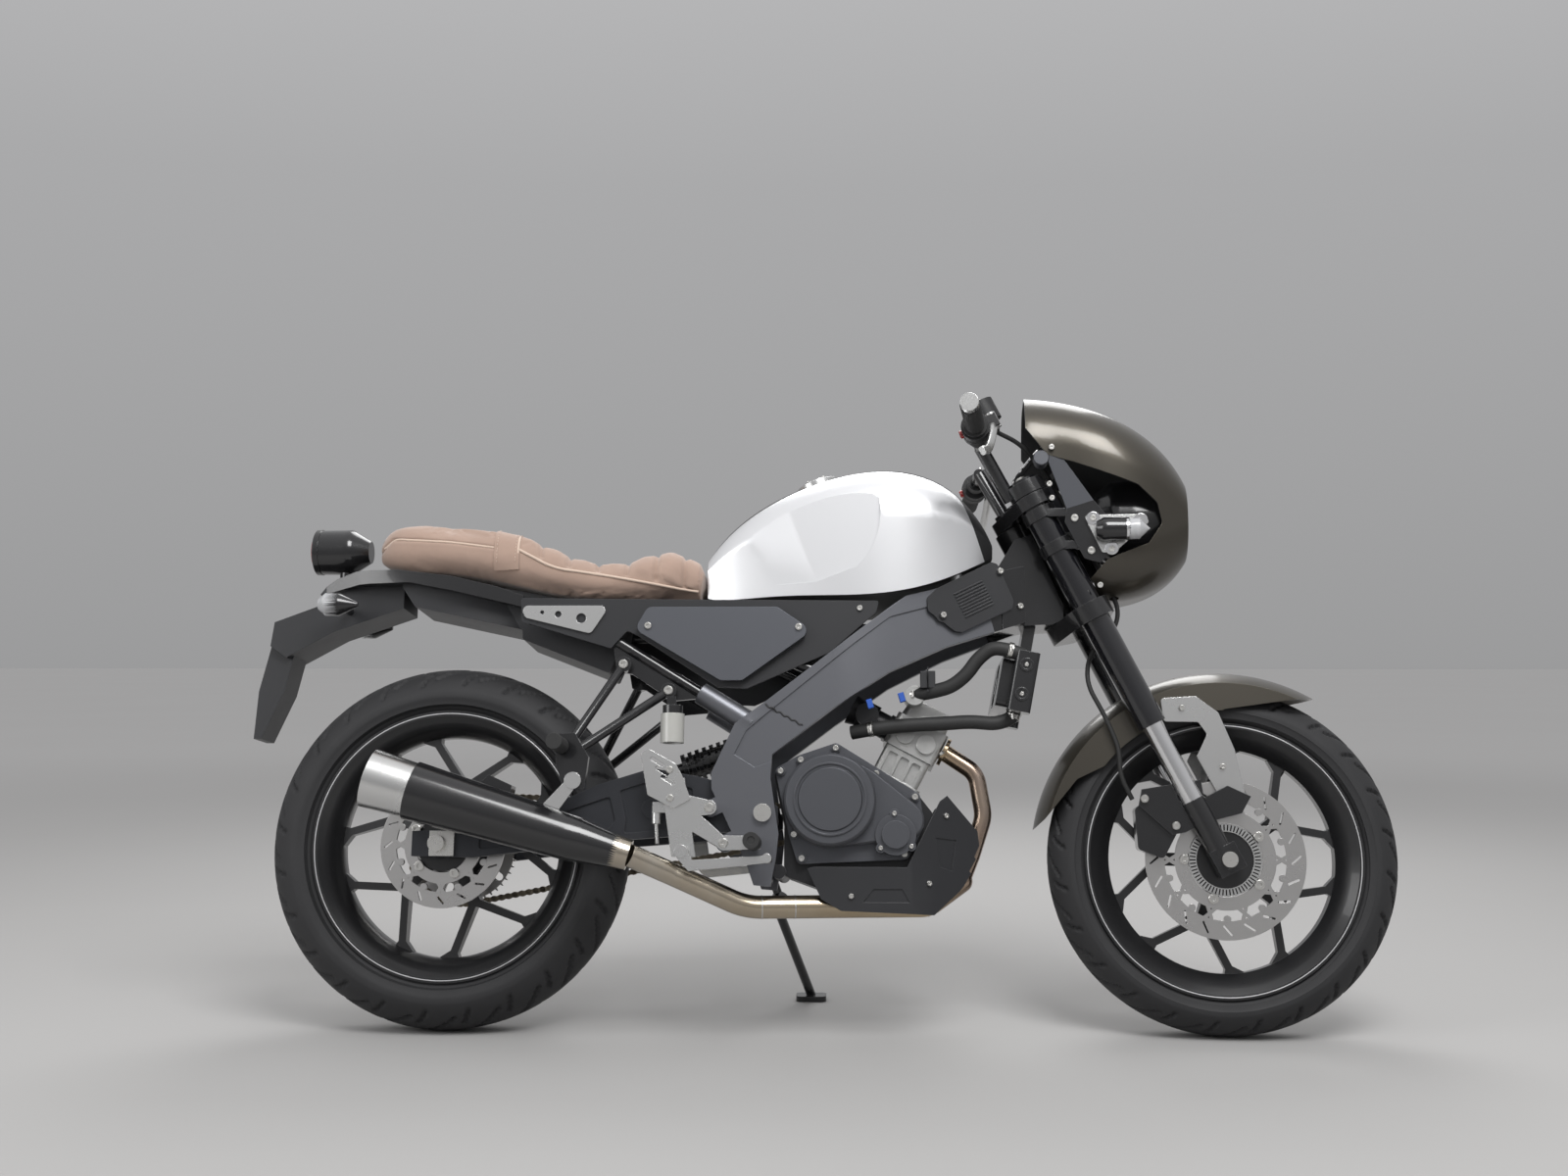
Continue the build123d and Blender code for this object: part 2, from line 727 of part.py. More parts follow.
# Cylinder with shallow windows in its sides, and the head with its cam cover
cylinder_height, head_height, cam_cover_height = 56, 58, 34
window_depth = 6
with BuildPart() as cylinder:
    with BuildSketch(deck.offset(fit)):
        RectangleRounded(84, 104, 8)
    extrude(amount=cylinder_height)
    for face in (-1, 1):
        wall = deck.from_local_coords(Vector(0, face * 52, cylinder_height / 2))
        with BuildSketch(Plane(origin=wall, x_dir=deck.x_dir, z_dir=(0, face, 0))):
            with GridLocations(22, 0, 3, 1):
                RectangleRounded(16, 38, 3)
        extrude(amount=-window_depth, mode=Mode.SUBTRACT)
    with BuildSketch(deck.offset(fit)):
        RectangleRounded(96, 112, 8)
    extrude(amount=7)

head_base = cylinder_height + 2 * fit
with BuildPart() as cylinder_head:
    with BuildSketch(deck.offset(head_base)):
        RectangleRounded(96, 112, 10)
    extrude(amount=head_height)
    with BuildSketch(deck.offset(head_base + head_height)):
        RectangleRounded(86, 98, 14)
    extrude(amount=cam_cover_height, taper=8)
    for x, height in [(-20, 84), (20, 84)]:
        bore = deck.from_local_coords(Vector(x, 0, height))
        with BuildSketch(Plane(origin=bore, x_dir=deck.x_dir, z_dir=(0, -1, 0))):
            Circle(17)
        extrude(amount=62, both=True)
    add(rod((806, -30, 569), (806, -84, 569), 17))

intake_face = Plane(
    origin=deck.from_local_coords(Vector(-48 - fit, 0, 85)), x_dir=(0, 1, 0), z_dir=-deck.x_dir)
with BuildPart() as throttle_body:
    with BuildSketch(intake_face):
        SlotOverall(82, 46)
    extrude(amount=7)
    with BuildSketch(intake_face.offset(7)):
        Circle(22)
    extrude(amount=24)
    with BuildSketch(intake_face.offset(31)):
        Circle(27)
    extrude(amount=30)
    with BuildSketch(intake_face.offset(61)):
        Circle(23)
    extrude(amount=16, taper=-14)
    with BuildSketch(intake_face.offset(61)):
        Circle(19)
    extrude(amount=17, mode=Mode.SUBTRACT)
    drum = intake_face.from_local_coords(Vector(0, 0, 46))
    add(rod((drum.X, -48, drum.Z), (drum.X, 44, drum.Z), 8))
    add(rod((drum.X, -48, drum.Z), (drum.X, -38, drum.Z), 20))

# Exhaust
port = deck.from_local_coords(Vector(50, -30, 90))
port_flange = deck.from_local_coords(Vector(56, -30, 90))
joint = (884, -46, 256)
header_route = [(port.X, port.Y, port.Z), (912, -34, 440), (924, -38, 366), (902, -42, 300), joint]
pipe_route = [joint, (826, -66, 214), (700, -94, 212), (522, -116, 209), (401, -150, 262), (333, -182, 291)]
with BuildPart() as exhaust_pipe:
    add(tube(header_route, 15, [40, 60, 60]))
    add(rod(tuple(port), tuple(port_flange), 25))
    with Locations(joint):
        Sphere(19)
    add(tube(pipe_route, 19, [40, 200, 120, 60]))
    add(cylinder_head.part, mode=Mode.SUBTRACT)

muffler_from, muffler_to = Vector(333, -182, 291), Vector(-101, -200, 415)
muffler_axis = muffler_to - muffler_from
muffler_plane = Plane(origin=muffler_from, x_dir=(0, 1, 0), z_dir=muffler_axis)
with BuildPart() as muffler:
    with BuildSketch(Plane(origin=muffler_from, x_dir=(0, 1, 0), z_dir=-muffler_plane.y_dir)):
        with BuildLine():
            Polyline((0, 1), (25, 1), (26, 20), (34, 96), (34, 378), (31, 378), (31, muffler_axis.length),
                     (28, muffler_axis.length), (28, 330), (0, 330), close=True)
        make_face()
    revolve(axis=Axis(muffler_plane.origin, muffler_axis))
    add(exhaust_pipe.part, mode=Mode.SUBTRACT)

# Skid guard round the front and sides of the crankcase
guard_outline = [
    (624, 273), (634, 276), (790, 276), (846, 387), (859, 397), (911, 339), (914, 315),
    (905, 296), (908, 292), (896, 272), (899, 268), (887, 248), (880, 239), (835, 198),
    (680, 204), (647, 223),
]
guard_wall = 4
guard_bend_x, guard_nose_x, guard_nose_half = 800, 914, 64
guard_face = Plane(
    origin=(guard_bend_x, -guard_inner - guard_wall, 0),
    x_dir=(guard_nose_x - guard_bend_x, guard_inner + guard_wall - guard_nose_half, 0),
    z_dir=(guard_inner + guard_wall - guard_nose_half, guard_bend_x - guard_nose_x, 0),
)
guard_pocket_depth = 2
with BuildPart() as guard_pockets:
    with BuildSketch(guard_face):
        with BuildLine():
            Polyline((44, 326), (84, 323), (75, 271), (51, 278), close=True)
        make_face()
    extrude(amount=-guard_pocket_depth)
    with BuildSketch(side(guard_inner + guard_wall)):
        with BuildLine():
            Polyline((716, 218), (734, 240), (782, 240), (794, 218), close=True)
        make_face()
    extrude(amount=-guard_pocket_depth)
    mirror(about=Plane.XZ)

with BuildPart() as skid_guard:
    with BuildSketch(side(0)):
        with BuildLine():
            Polyline(*guard_outline, close=True)
        make_face()
    extrude(amount=guard_inner + guard_wall, both=True)
    with BuildSketch(Plane.XY):
        with BuildLine():
            outer = guard_inner + guard_wall
            Polyline((600, -outer), (guard_bend_x, -outer), (guard_nose_x, -guard_nose_half),
                     (guard_nose_x, guard_nose_half), (guard_bend_x, outer), (600, outer), close=True)
        make_face()
    extrude(amount=500, mode=Mode.INTERSECT)
    with BuildSketch(Plane.XY):
        with BuildLine():
            Polyline((600, -guard_inner), (guard_bend_x - 2, -guard_inner),
                     (guard_nose_x - guard_wall - 1, -guard_nose_half),
                     (guard_nose_x - guard_wall - 1, guard_nose_half),
                     (guard_bend_x - 2, guard_inner), (600, guard_inner), close=True)
        make_face()
    extrude(amount=500, mode=Mode.SUBTRACT)
    with BuildSketch(Plane.XY.offset(262)):
        with Locations((guard_nose_x, 0)):
            Rectangle(60, 2 * guard_nose_half - 8)
    extrude(amount=200, mode=Mode.SUBTRACT)
    add(guard_pockets.part, mode=Mode.SUBTRACT)

# Radiator
radiator_tilt = 11
radiator_plane = Plane(
    origin=(989 + ahead, 0, 588),
    x_dir=(cos(radians(radiator_tilt)), 0, -sin(radians(radiator_tilt))),
    z_dir=(sin(radians(radiator_tilt)), 0, cos(radians(radiator_tilt))),
)
core_half, tank_reach, fan_radius = 98, 111, 40
fan_plane = Plane(
    origin=radiator_plane.from_local_coords(Vector(-13, -6, 0)), x_dir=(0, 1, 0),
    z_dir=-radiator_plane.x_dir,
)
with BuildPart() as radiator:
    with BuildSketch(radiator_plane.offset(-46)):
        Rectangle(26, 2 * core_half)
    extrude(amount=92)
    with BuildSketch(radiator_plane.offset(-52)):
        with Locations((0, -tank_reach), (0, tank_reach)):
            RectangleRounded(40, 30, 7)
    extrude(amount=104)
    with BuildSketch(fan_plane):
        RectangleRounded(170, 88, 10)
        Circle(fan_radius, mode=Mode.SUBTRACT)
        Circle(14)
        with PolarLocations(fan_radius / 2 + 5, 4, start_angle=45):
            Rectangle(fan_radius - 6, 5)
    extrude(amount=26)
    with BuildSketch(radiator_plane.offset(44)):
        Rectangle(20, 60)
    extrude(amount=70)
    add(main_frame.part, mode=Mode.SUBTRACT)

# Coolant hoses between the radiator and the engine
upper_hose_route = [
    (992 + ahead, -112, 634), (966 + ahead, -112, 643), (938, -109, 648), (914, -104, 630),
    (894, -101, 602), (868, -96, 582), (838, -88, 575), (806, -72, 571),
]
lower_hose_route = [
    (980 + ahead, -80, 556), (972 + ahead, -80, 530), (944, -86, 520), (900, -84, 524),
    (860, -82, 521), (815, -82, 519), (770, -81, 516), (730, -79, 511), (698, -70, 506),
]
with BuildPart() as coolant_hoses:
    add(tube(upper_hose_route, 12, corner_radii(upper_hose_route)))
    add(tube(lower_hose_route, 12, corner_radii(lower_hose_route)))
    add(radiator.part, mode=Mode.SUBTRACT)
    add(cylinder_head.part, mode=Mode.SUBTRACT)

# Rear subframe
panel_inner = 112
rail_radius, brace_radius = 11, 10
rail_y = panel_inner - fit - rail_radius
brace_y = panel_inner - fit - brace_radius
gusset_outer = brace_y + 4
with BuildPart() as subframe:
    add(tube([(140, rail_y, 700), (430, rail_y, 700), (640, rail_y, 606)], rail_radius, [90]))
    add(rod((640, rail_y, 606), (640, frame_inner - fit, 606), rail_radius))
    add(rod((255, brace_y, 683), (440, brace_y, 569), brace_radius))
    add(panel([(286, 660), (296, 606), (322, 602), (392, 556), (436, 560), (436, 572)],
              -gusset_outer, 4 - brace_y))
    add(rod((330, 0, 707.5), (330, rail_y, 707.5), 8))
    add(rod((425, 0, 707.5), (425, rail_y, 707.5), 8))
    with Locations((448, 0, 711)):
        Box(56, 40, 9.4)
    mirror(about=Plane.XZ)

# Seat, tail and panels
seat_stations = [
    # x, half width, bottom, top, corner radius
    (-142, 62, 806, 846, 18),
    (-112, 92, 797, 870, 30),
    (0, 112, 788, 862, 32),
    (100, 118, 770, 848, 32),
    (190, 122, 750, 814, 28),
    (320, 112, 740, 803, 28),
    (440, 80, 738, 816, 28),
]
with BuildPart() as seat:
    add(body(seat_stations))

tray_outline = [
    (-100, 786), (-18, 779), (73, 762), (209, 738), (412, 728), (440, 731), (440, 716),
    (300, 716), (290, 640), (277, 609), (123, 669), (122, 686), (-70, 727), (-92, 760),
]
surround_outline = [
    (127, 733), (440, 730), (745, 728), (740, 708), (660, 638), (520, 576), (470, 578), (330, 668),
    (312, 676), (285, 645), (262, 652), (130, 692),
]
with BuildPart() as inner_panels:
    add(panel(surround_outline, panel_inner, frame_inner - fit, 4))
    add(rod((320, -40, 725), (320, -40, 739.3), 8))
    add(rod((0, -40, 770), (0, -40, 786.9), 6))
    mirror(about=Plane.XZ)
    add(panel(tray_outline, -70, 70, 4))

tail_outline = [
    (-252, 757), (-215, 779), (-178, 790), (-100, 791), (0, 777), (80, 758), (126, 742),
    (126, 722), (0, 752), (-78, 768), (-171, 766), (-246, 751),
]
with BuildPart() as tail_cowl:
    add(panel(tail_outline, -100, 100))
    with BuildSketch(Plane.XY):
        with BuildLine():
            Polyline((126, 97), (0, 94), (-150, 80), (-235, 50), (-252, 30), (-252, -30), (-235, -50),
                     (-150, -80), (0, -94), (126, -97), close=True)
        make_face()
    extrude(amount=900, mode=Mode.INTERSECT)
    add(inner_panels.part, mode=Mode.SUBTRACT)
    add(seat.part, mode=Mode.SUBTRACT)

cover_outline = [(327, 676), (349, 715), (571, 715), (631, 674), (512, 588), (475, 588)]
with BuildPart() as side_covers:
    add(panel(cover_outline, frame_inner, frame_inner + 14, 14))
    with BuildSketch(side(frame_inner)) as trim:
        with BuildLine():
            Polyline((127, 719), (282, 719), (250, 670), (136, 698), close=True)
        make_face()
        fillet(trim.vertices(), 9)
        for x, z, radius in [(165, 707, 3.5), (193, 704, 5.5), (233, 697, 8.5)]:
            with Locations((x, z)):
                Circle(radius, mode=Mode.SUBTRACT)
    extrude(amount=4)
    mirror(about=Plane.XZ)

# Tail lamp, plate holder and rear indicators
lamp_z = 840
with BuildPart() as rear_lamps:
    with BuildSketch(Plane.XZ):
        with BuildLine():
            Polyline((-274, lamp_z), (-274, lamp_z + 30), (-264, lamp_z + 40), (-205, lamp_z + 41),
                     (-172, lamp_z + 20), (-172, lamp_z), close=True)
        make_face()
    revolve(axis=Axis((0, 0, lamp_z), (1, 0, 0)))
    add(rod((-215, 0, lamp_z - 30), (-215, 0, 782), 12))
    for face in (-1, 1):
        with BuildSketch(Plane.XZ.offset(-face * 118)):
            with BuildLine():
                Polyline((-228, 722), (-226, 732), (-214, 742), (-190, 742), (-158, 726), (-158, 722),
                         close=True)
            make_face()
        revolve(axis=Axis((0, face * 118, 722), (1, 0, 0)))
    add(tail_cowl.part, mode=Mode.SUBTRACT)
with BuildPart() as plate_holder:
    add(panel([(-175, 774), (-253, 730), (-325, 703), (-330, 660), (-300, 640), (-219, 685), (-95, 728),
               (-95, 774)], -50, 50))
    add(panel([(-326, 690), (-350, 581), (-354, 497), (-341, 497), (-305, 581), (-290, 650)], -36, 36))
    add(rod((-190, fit - 98, 722), (-190, 98 - fit, 722), 7))
    add(tail_cowl.part, mode=Mode.SUBTRACT)
    add(inner_panels.part, mode=Mode.SUBTRACT)

# Passenger peg stays and pegs
stay_low = (226, 178, 470)
with BuildPart() as peg_stays:
    add(rod((309, 120, 616), stay_low, 8))
    add(rod((387, 120, 571), (236, 178, 460), 8))
    add(rod((309, gusset_outer + fit, 616), (309, 128, 616), 13))
    add(rod((387, gusset_outer + fit, 571), (387, 128, 571), 13))
    with BuildSketch(side(-186)):
        with BuildLine():
            Polyline((204, 490), (238, 492), (262, 452), (256, 398), (222, 398), (208, 440), close=True)
        make_face()
    extrude(amount=14)
    mirror(about=Plane.XZ)

with BuildPart() as muffler_strap:
    strap_x, strap_z = 238, 412
    add(rod((strap_x, -186 - fit, strap_z), (strap_x, -196, strap_z), 14))
    along = muffler_axis.normalized()
    ring_place = Plane(origin=muffler_from + along * 150, z_dir=muffler_axis)
    with BuildSketch(ring_place):
        Circle(37)
        Circle(34 + fit, mode=Mode.SUBTRACT)
    extrude(amount=18, both=True)
    with BuildSketch(side(188)):
        with BuildLine():
            Polyline((226, 412), (250, 412), (208, 352), (176, 358), close=True)
        make_face()
    extrude(amount=5)
    add(muffler.part, mode=Mode.SUBTRACT)

# Foot controls
plate_outline = [(346, 460), (359, 468), (405, 443), (416, 424), (431, 384), (402, 369), (359, 391)]
heel_slots = [(374, 446), (383, 431), (392, 416)]
rearset_inner = 148
with BuildPart() as footrest_brackets:
    add(panel(plate_outline, rearset_inner + 12, rearset_inner + 17, 4))
    with BuildSketch(side(rearset_inner + 12)):
        for x, z in heel_slots:
            with Locations(Location((x, z, 0), (0, 0, -32))):
                SlotOverall(26, 6)
    extrude(amount=5, mode=Mode.SUBTRACT)
    with BuildSketch(side(rearset_inner)) as arms:
        for x, z in arm_bolts:
            with BuildLine():
                Polyline((404, 396), (x, z + 12), (x, z - 12), (398, 352), close=True)
            make_face()
            with Locations((x, z)):
                Circle(12)
        with BuildLine():
            Polyline((486, 325), (542, 325), (548, 303), (486, 301), close=True)
        make_face()
        with BuildLine():
            Polyline((380, 420), (420, 420), (440, 290), (400, 290), close=True)
        make_face()
    extrude(amount=12)
    for x, z in arm_bolts:
        add(rod((x, -frame_outer - fit, z), (x, -rearset_inner, z), 11))
    mirror(about=Plane.XZ)
with BuildPart() as foot_pegs:
    add(rod((216, -186 - fit, 470), (216, -262, 470), 13))
    add(rod((536, -rearset_inner - 12 - fit, 313), (536, -rearset_inner - 90, 313), 13))
    mirror(about=Plane.XZ)

pedal_outline = [(410, 306), (424, 304), (436, 284), (560, 292), (562, 280), (430, 266), (410, 288)]
with BuildPart() as foot_levers:
    add(panel(pedal_outline, rearset_inner + 18, rearset_inner + 28))
    add(rod((417, -rearset_inner - 12 - fit, 298), (417, -rearset_inner - 30, 298), 11))
    add(rod((560, -rearset_inner - 18, 286), (560, -rearset_inner - 62, 286), 8))
    add(panel(pedal_outline, -rearset_inner - 28, -rearset_inner - 18))
    add(rod((417, rearset_inner + 12 + fit, 298), (417, rearset_inner + 30, 298), 11))
    add(rod((560, rearset_inner + 18, 286), (560, rearset_inner + 62, 286), 8))

with BuildPart() as rear_master_cylinder:
    add(rod((372, -rearset_inner + fit + 10, 380), (372, -rearset_inner + fit + 10, 345), 9))
    add(rod((372, -rearset_inner + fit + 10, 345), (374, -rearset_inner + fit + 10, 312), 4))
    with BuildSketch(side(rearset_inner - 20)):
        with Locations((386, 372)):
            Rectangle(40, 18)
    extrude(amount=20 - fit)
    add(rod((397, -150, 479), (397, -150, 528), 20))
    add(rod((397, -150, 528), (397, -150, 542), 17))
    add(panel([(384, 560), (400, 560), (404, 520), (390, 520)], 128 + fit, 132))

# Rear caliper above the disc
with BuildPart() as rear_caliper:
    with BuildSketch(side(56)):
        with BuildLine():
            Polyline((42, 398), (78, 430), (118, 412), (112, 376), (84, 352), close=True)
        make_face()
    extrude(amount=40)
    with BuildSketch(side(rear_disc_place - 2.5)):
        with Locations((0, rear_radius)):
            Circle(rear_disc_radius + 4)
    extrude(amount=disc_thickness + 5, mode=Mode.SUBTRACT)
    with BuildSketch(side(88)):
        with BuildLine():
            Polyline((16, 366), (80, 400), (110, 380), (40, 318), (10, 298), (-12, 320), close=True)
        make_face()
    extrude(amount=arm_inner - fit - 88)
    add(rod((0, -82, rear_radius), (0, -arm_inner + fit, rear_radius), 22))
    add(rod((0, -200, rear_radius), (0, 200, rear_radius), axle_radius + running), mode=Mode.SUBTRACT)

# Side stand, down
stand_pivot = Vector(563, 142, 214)
foot_x, foot_y = 622, 282
ground_z = foot_y * tan(radians(lean)) - crown_drop / cos(radians(lean))
ground = Plane(
    origin=(foot_x, foot_y, ground_z), x_dir=(1, 0, 0), z_dir=(0, -sin(radians(lean)), cos(radians(lean)))
)
foot_top = Vector(foot_x, foot_y, ground_z) + ground.z_dir * 9
leg_run = foot_top - stand_pivot
folded = Vector(-0.97, 0.15, 0.1)
stand_axis = leg_run.normalized().cross(folded.normalized()).normalized()
with BuildPart() as side_stand:
    add(rod(tuple(stand_pivot), tuple(foot_top), 8.5))
    with BuildSketch(ground):
        RectangleRounded(56, 40, 10)
    extrude(amount=10)
    add(rod(tuple(stand_pivot - stand_axis * 10), tuple(stand_pivot + stand_axis * 10), 16))
    add(rod(tuple(stand_pivot - stand_axis * 40), tuple(stand_pivot + stand_axis * 40), 6 + running),
        mode=Mode.SUBTRACT)
with BuildPart() as stand_bracket:
    add(rod(tuple(stand_pivot - stand_axis * 14), tuple(stand_pivot + stand_axis * 26), 6))
    add(rod(tuple(stand_pivot + stand_axis * 10.5), tuple(stand_pivot + stand_axis * 26), 15))
    add(rod((553, frame_outer + 9 + fit, 268), tuple(stand_pivot + stand_axis * 22), 8))
    add(rod((553, frame_outer + fit, 268), (553, frame_outer + 18, 268), 12))


def leg_point(level, face=-1):
    """Point on a fork leg's centre line, this far up the steering axis."""
    return fork_plane.from_local_coords(Vector(leg_offset, face * leg_spread, level))


# Fork, in the steering head's frame: x forward of the steering axis, z up along it
with BuildPart() as fork_yokes:
    with BuildSketch(Plane.XY.offset(yoke_low)):
        Circle(30)
        with Locations((leg_offset, -leg_spread), (leg_offset, leg_spread)):
            Circle(tube_radius + 10)
        make_hull()
    extrude(amount=yoke_low_thickness)
    with BuildSketch(Plane.XY.offset(yoke_low)):
        with Locations((leg_offset, -leg_spread), (leg_offset, leg_spread)):
            Circle(tube_radius + running)
    extrude(amount=yoke_low_thickness, mode=Mode.SUBTRACT)
    with Locations((0, 0, yoke_low)):
        Cylinder(stem_radius, yoke_high - yoke_low - fit, align=(Align.CENTER, Align.CENTER, Align.MIN))
    with BuildSketch(Plane.XY.offset(yoke_high)):
        Circle(28)
        with Locations((leg_offset, -leg_spread), (leg_offset, leg_spread)):
            Circle(tube_radius + 9)
        make_hull()
    extrude(amount=yoke_high_thickness)
    with BuildSketch(Plane.XY.offset(yoke_high)):
        with Locations((leg_offset, -leg_spread), (leg_offset, leg_spread)):
            Circle(tube_radius + running)
    extrude(amount=yoke_high_thickness, mode=Mode.SUBTRACT)
    with Locations((0, 0, yoke_high + yoke_high_thickness)):
        Cylinder(17, 10, align=(Align.CENTER, Align.CENTER, Align.MIN))
with BuildPart() as fork_tubes:
    for face in (-1, 1):
        with Locations((leg_offset, face * leg_spread, tube_low)):
            Cylinder(tube_radius, tube_high - tube_low, align=(Align.CENTER, Align.CENTER, Align.MIN))
with BuildPart() as fork_sliders:
    for face in (-1, 1):
        with Locations((leg_offset, face * leg_spread, slider_low)):
            Cylinder(slider_radius, tube_low - slider_low, align=(Align.CENTER, Align.CENTER, Align.MIN))

bar_end = (-9, 390, 824)
bar_start = (8, 104, 815)


def along_bar(reach):
    """Point on the left bar at this distance from the middle."""
    share = (reach - bar_start[1]) / (bar_end[1] - bar_start[1])
    return tuple(a + share * (b - a) for a, b in zip(bar_start, bar_end))


with BuildPart() as handlebars:
    with Locations((leg_offset, leg_spread, clip_low)):
        Cylinder(tube_radius + 9, clip_thickness, align=(Align.CENTER, Align.CENTER, Align.MIN))
    add(rod((12, leg_spread, clip_low + 8), bar_start, 12))
    add(rod(bar_start, along_bar(404), 11))
    add(rod(along_bar(384 + fit), along_bar(404), 15))
    with Locations((leg_offset, leg_spread, clip_low - 1)):
        Cylinder(tube_radius + running, tube_high - clip_low + 1 + fit,
                 align=(Align.CENTER, Align.CENTER, Align.MIN), mode=Mode.SUBTRACT)
    mirror(about=Plane.XZ)
with BuildPart() as grips:
    add(rod(along_bar(256), along_bar(384), 16.5))
    add(rod(along_bar(256), along_bar(262), 21))
    add(rod(along_bar(200), along_bar(390), 11 + running), mode=Mode.SUBTRACT)
    mirror(about=Plane.XZ)
with BuildPart() as controls:
    add(rod(along_bar(206), along_bar(252), 24))
    add(rod(along_bar(166), along_bar(196), 17))
    with Locations((22, 196, 822)):
        Box(40, 54, 22)
    add(rod(along_bar(150), along_bar(270), 11 + running), mode=Mode.SUBTRACT)
    mirror(about=Plane.XZ)
    with Locations((34, -168, 852)):
        Cylinder(23, 38)
# Each lever's blade: distance from the middle, place, thickness and height
lever_stations = [
    (206, 36, 824, 12, 16),
    (236, 22, 800, 9, 17),
    (280, 0, 772, 8, 17),
    (330, -14, 758, 8, 16),
    (378, -25, 749, 9, 15),
]
with BuildPart() as levers:
    for reach, x, level, thickness, height in lever_stations:
        with BuildSketch(Plane(origin=(x, reach, level), x_dir=(1, 0, 0), z_dir=(0, 1, 0))):
            RectangleRounded(thickness, height, thickness / 2 - 0.5)
    loft()
    add(rod((36, 206, 810), (36, 206, 838), 9))
    add(controls.part, mode=Mode.SUBTRACT)
    mirror(about=Plane.XZ)

# Front end, upright and straight ahead
with BuildPart() as instrument:
    gauge_plane = Plane(origin=(1052, 0, 968), x_dir=(0, 1, 0), z_dir=(-0.75, 0, 0.66))
    with BuildSketch(gauge_plane):
        Circle(44)
    extrude(amount=38)
    with BuildSketch(gauge_plane.offset(38)):
        Circle(46)
    extrude(amount=6)
    bracket_foot = Vector(70, 0, yoke_high + yoke_high_thickness + fit)
    with BuildSketch(Plane(origin=fork_plane.from_local_coords(bracket_foot), z_dir=fork_plane.z_dir)):
        Circle(10)
    extrude(amount=30)

stay_inner, stay_wall = 118, 4
stay_outline = [
    (1040, 992), (1058, 1000), (1122, 905), (1142, 880), (1152, 815), (1130, 796), (1104, 804),
    (1072, 868), (1076, 890),
]
head_z, head_radius = 884, 80
with BuildPart() as headlight:
    with BuildSketch(Plane.XZ):
        with BuildLine():
            Polyline((1112, head_z), (1112, head_z + 40), (1160, head_z + 76), (1200, head_z + head_radius),
                     (1256, head_z + head_radius), (1262, head_z + 74), (1276, head_z + 30), (1278, head_z),
                     close=True)
        make_face()
    revolve(axis=Axis((0, 0, head_z), (1, 0, 0)))
    add(rod((1132, fit - stay_inner, 850), (1132, stay_inner - fit, 850), 9))
with BuildPart() as headlight_stays:
    add(panel(stay_outline, stay_inner, stay_inner + stay_wall, 4))
    for level in (588, 652):
        add(rod(tuple(leg_point(level)), tuple(leg_point(level + 20)), tube_radius + 5))
        at = leg_point(level + 10)
        with Locations((at.X + 28, -114, at.Z)):
            Box(34, 10, 14)
    add(rod(tuple(leg_point(560)), tuple(leg_point(700)), tube_radius + running), mode=Mode.SUBTRACT)
    mirror(about=Plane.XZ)

cowl_stations = [
    # x, half width, bottom, top, corner radius
    (1008, 127, 730, 1109, 100),
    (1100, 127, 738, 1094, 100),
    (1180, 126, 743, 1061, 98),
    (1250, 100, 772, 1008, 84),
    (1286, 80, 812, 952, 64),
]
cowl_wall = 4
cowl_hollow = [
    (x - cowl_wall, half - cowl_wall, low + cowl_wall, high - cowl_wall, corner - cowl_wall)
    for x, half, low, high, corner in cowl_stations
]
cowl_notch = [
    (1004, 1041), (1045, 987), (1089, 973), (1198, 932), (1231, 902), (1239, 867), (1214, 830),
    (1144, 802), (1108, 764), (1104, 690), (900, 690), (900, 1041),
]
# Brake hose from the master cylinder, ahead of the yokes and down behind the right leg
upper_hose_run = [
    (34, -172, 822), (40, -140, 820), (72, -104, 790), (94, -64, 730), (96, -58, 520),
    (94, -52, 440), (10, -50, 410), (-18, -73, 367),
]
lower_hose_run = [(1138, -77, 532), (1158, -78, 480), (1158, -77, 436), (1178, -70, 396)]
brake_hose_route = [tuple(fork_plane.from_local_coords(Vector(*point))) for point in upper_hose_run]
brake_hose_route += lower_hose_run
yoke_pass = brake_hose_route[4:6]

with BuildPart() as cowl:
    add(body(cowl_stations))
    add(body(cowl_hollow), mode=Mode.SUBTRACT)
    add(panel(cowl_notch, -140, 140, 12), mode=Mode.SUBTRACT)
    add(rod((1200, 0, head_z), (1300, 0, head_z), head_radius - 4), mode=Mode.SUBTRACT)
    add(rod((1100, 0, head_z), (1262, 0, head_z), head_radius + fit), mode=Mode.SUBTRACT)
    add(rod(yoke_pass[0], yoke_pass[1], 8), mode=Mode.SUBTRACT)
    for face in (-1, 1):
        add(rod(tuple(leg_point(380, face)), tuple(leg_point(760, face)), tube_radius + 2),
            mode=Mode.SUBTRACT)
    add(fork_yokes.part.moved(fork_plane.location), mode=Mode.SUBTRACT)
    add(headlight_stays.part, mode=Mode.SUBTRACT)

indicator_outer = stay_inner + stay_wall + fit
with BuildPart() as front_indicators:
    add(panel([(1104, 878), (1208, 878), (1214, 864), (1154, 812), (1134, 812)], indicator_outer,
              indicator_outer + 6, 5))
    add(panel([(1142, 866), (1192, 864), (1152, 828)], indicator_outer - 1, indicator_outer + 7),
        mode=Mode.SUBTRACT)
    with BuildSketch(Plane.XZ.offset(indicator_outer + 21)):
        with BuildLine():
            Polyline((1122, 850), (1124, 864), (1136, 870), (1196, 868), (1214, 850), close=True)
        make_face()
    revolve(axis=Axis((0, -indicator_outer - 21, 850), (1, 0, 0)))
    add(headlight_stays.part, mode=Mode.SUBTRACT)
    mirror(about=Plane.XZ)

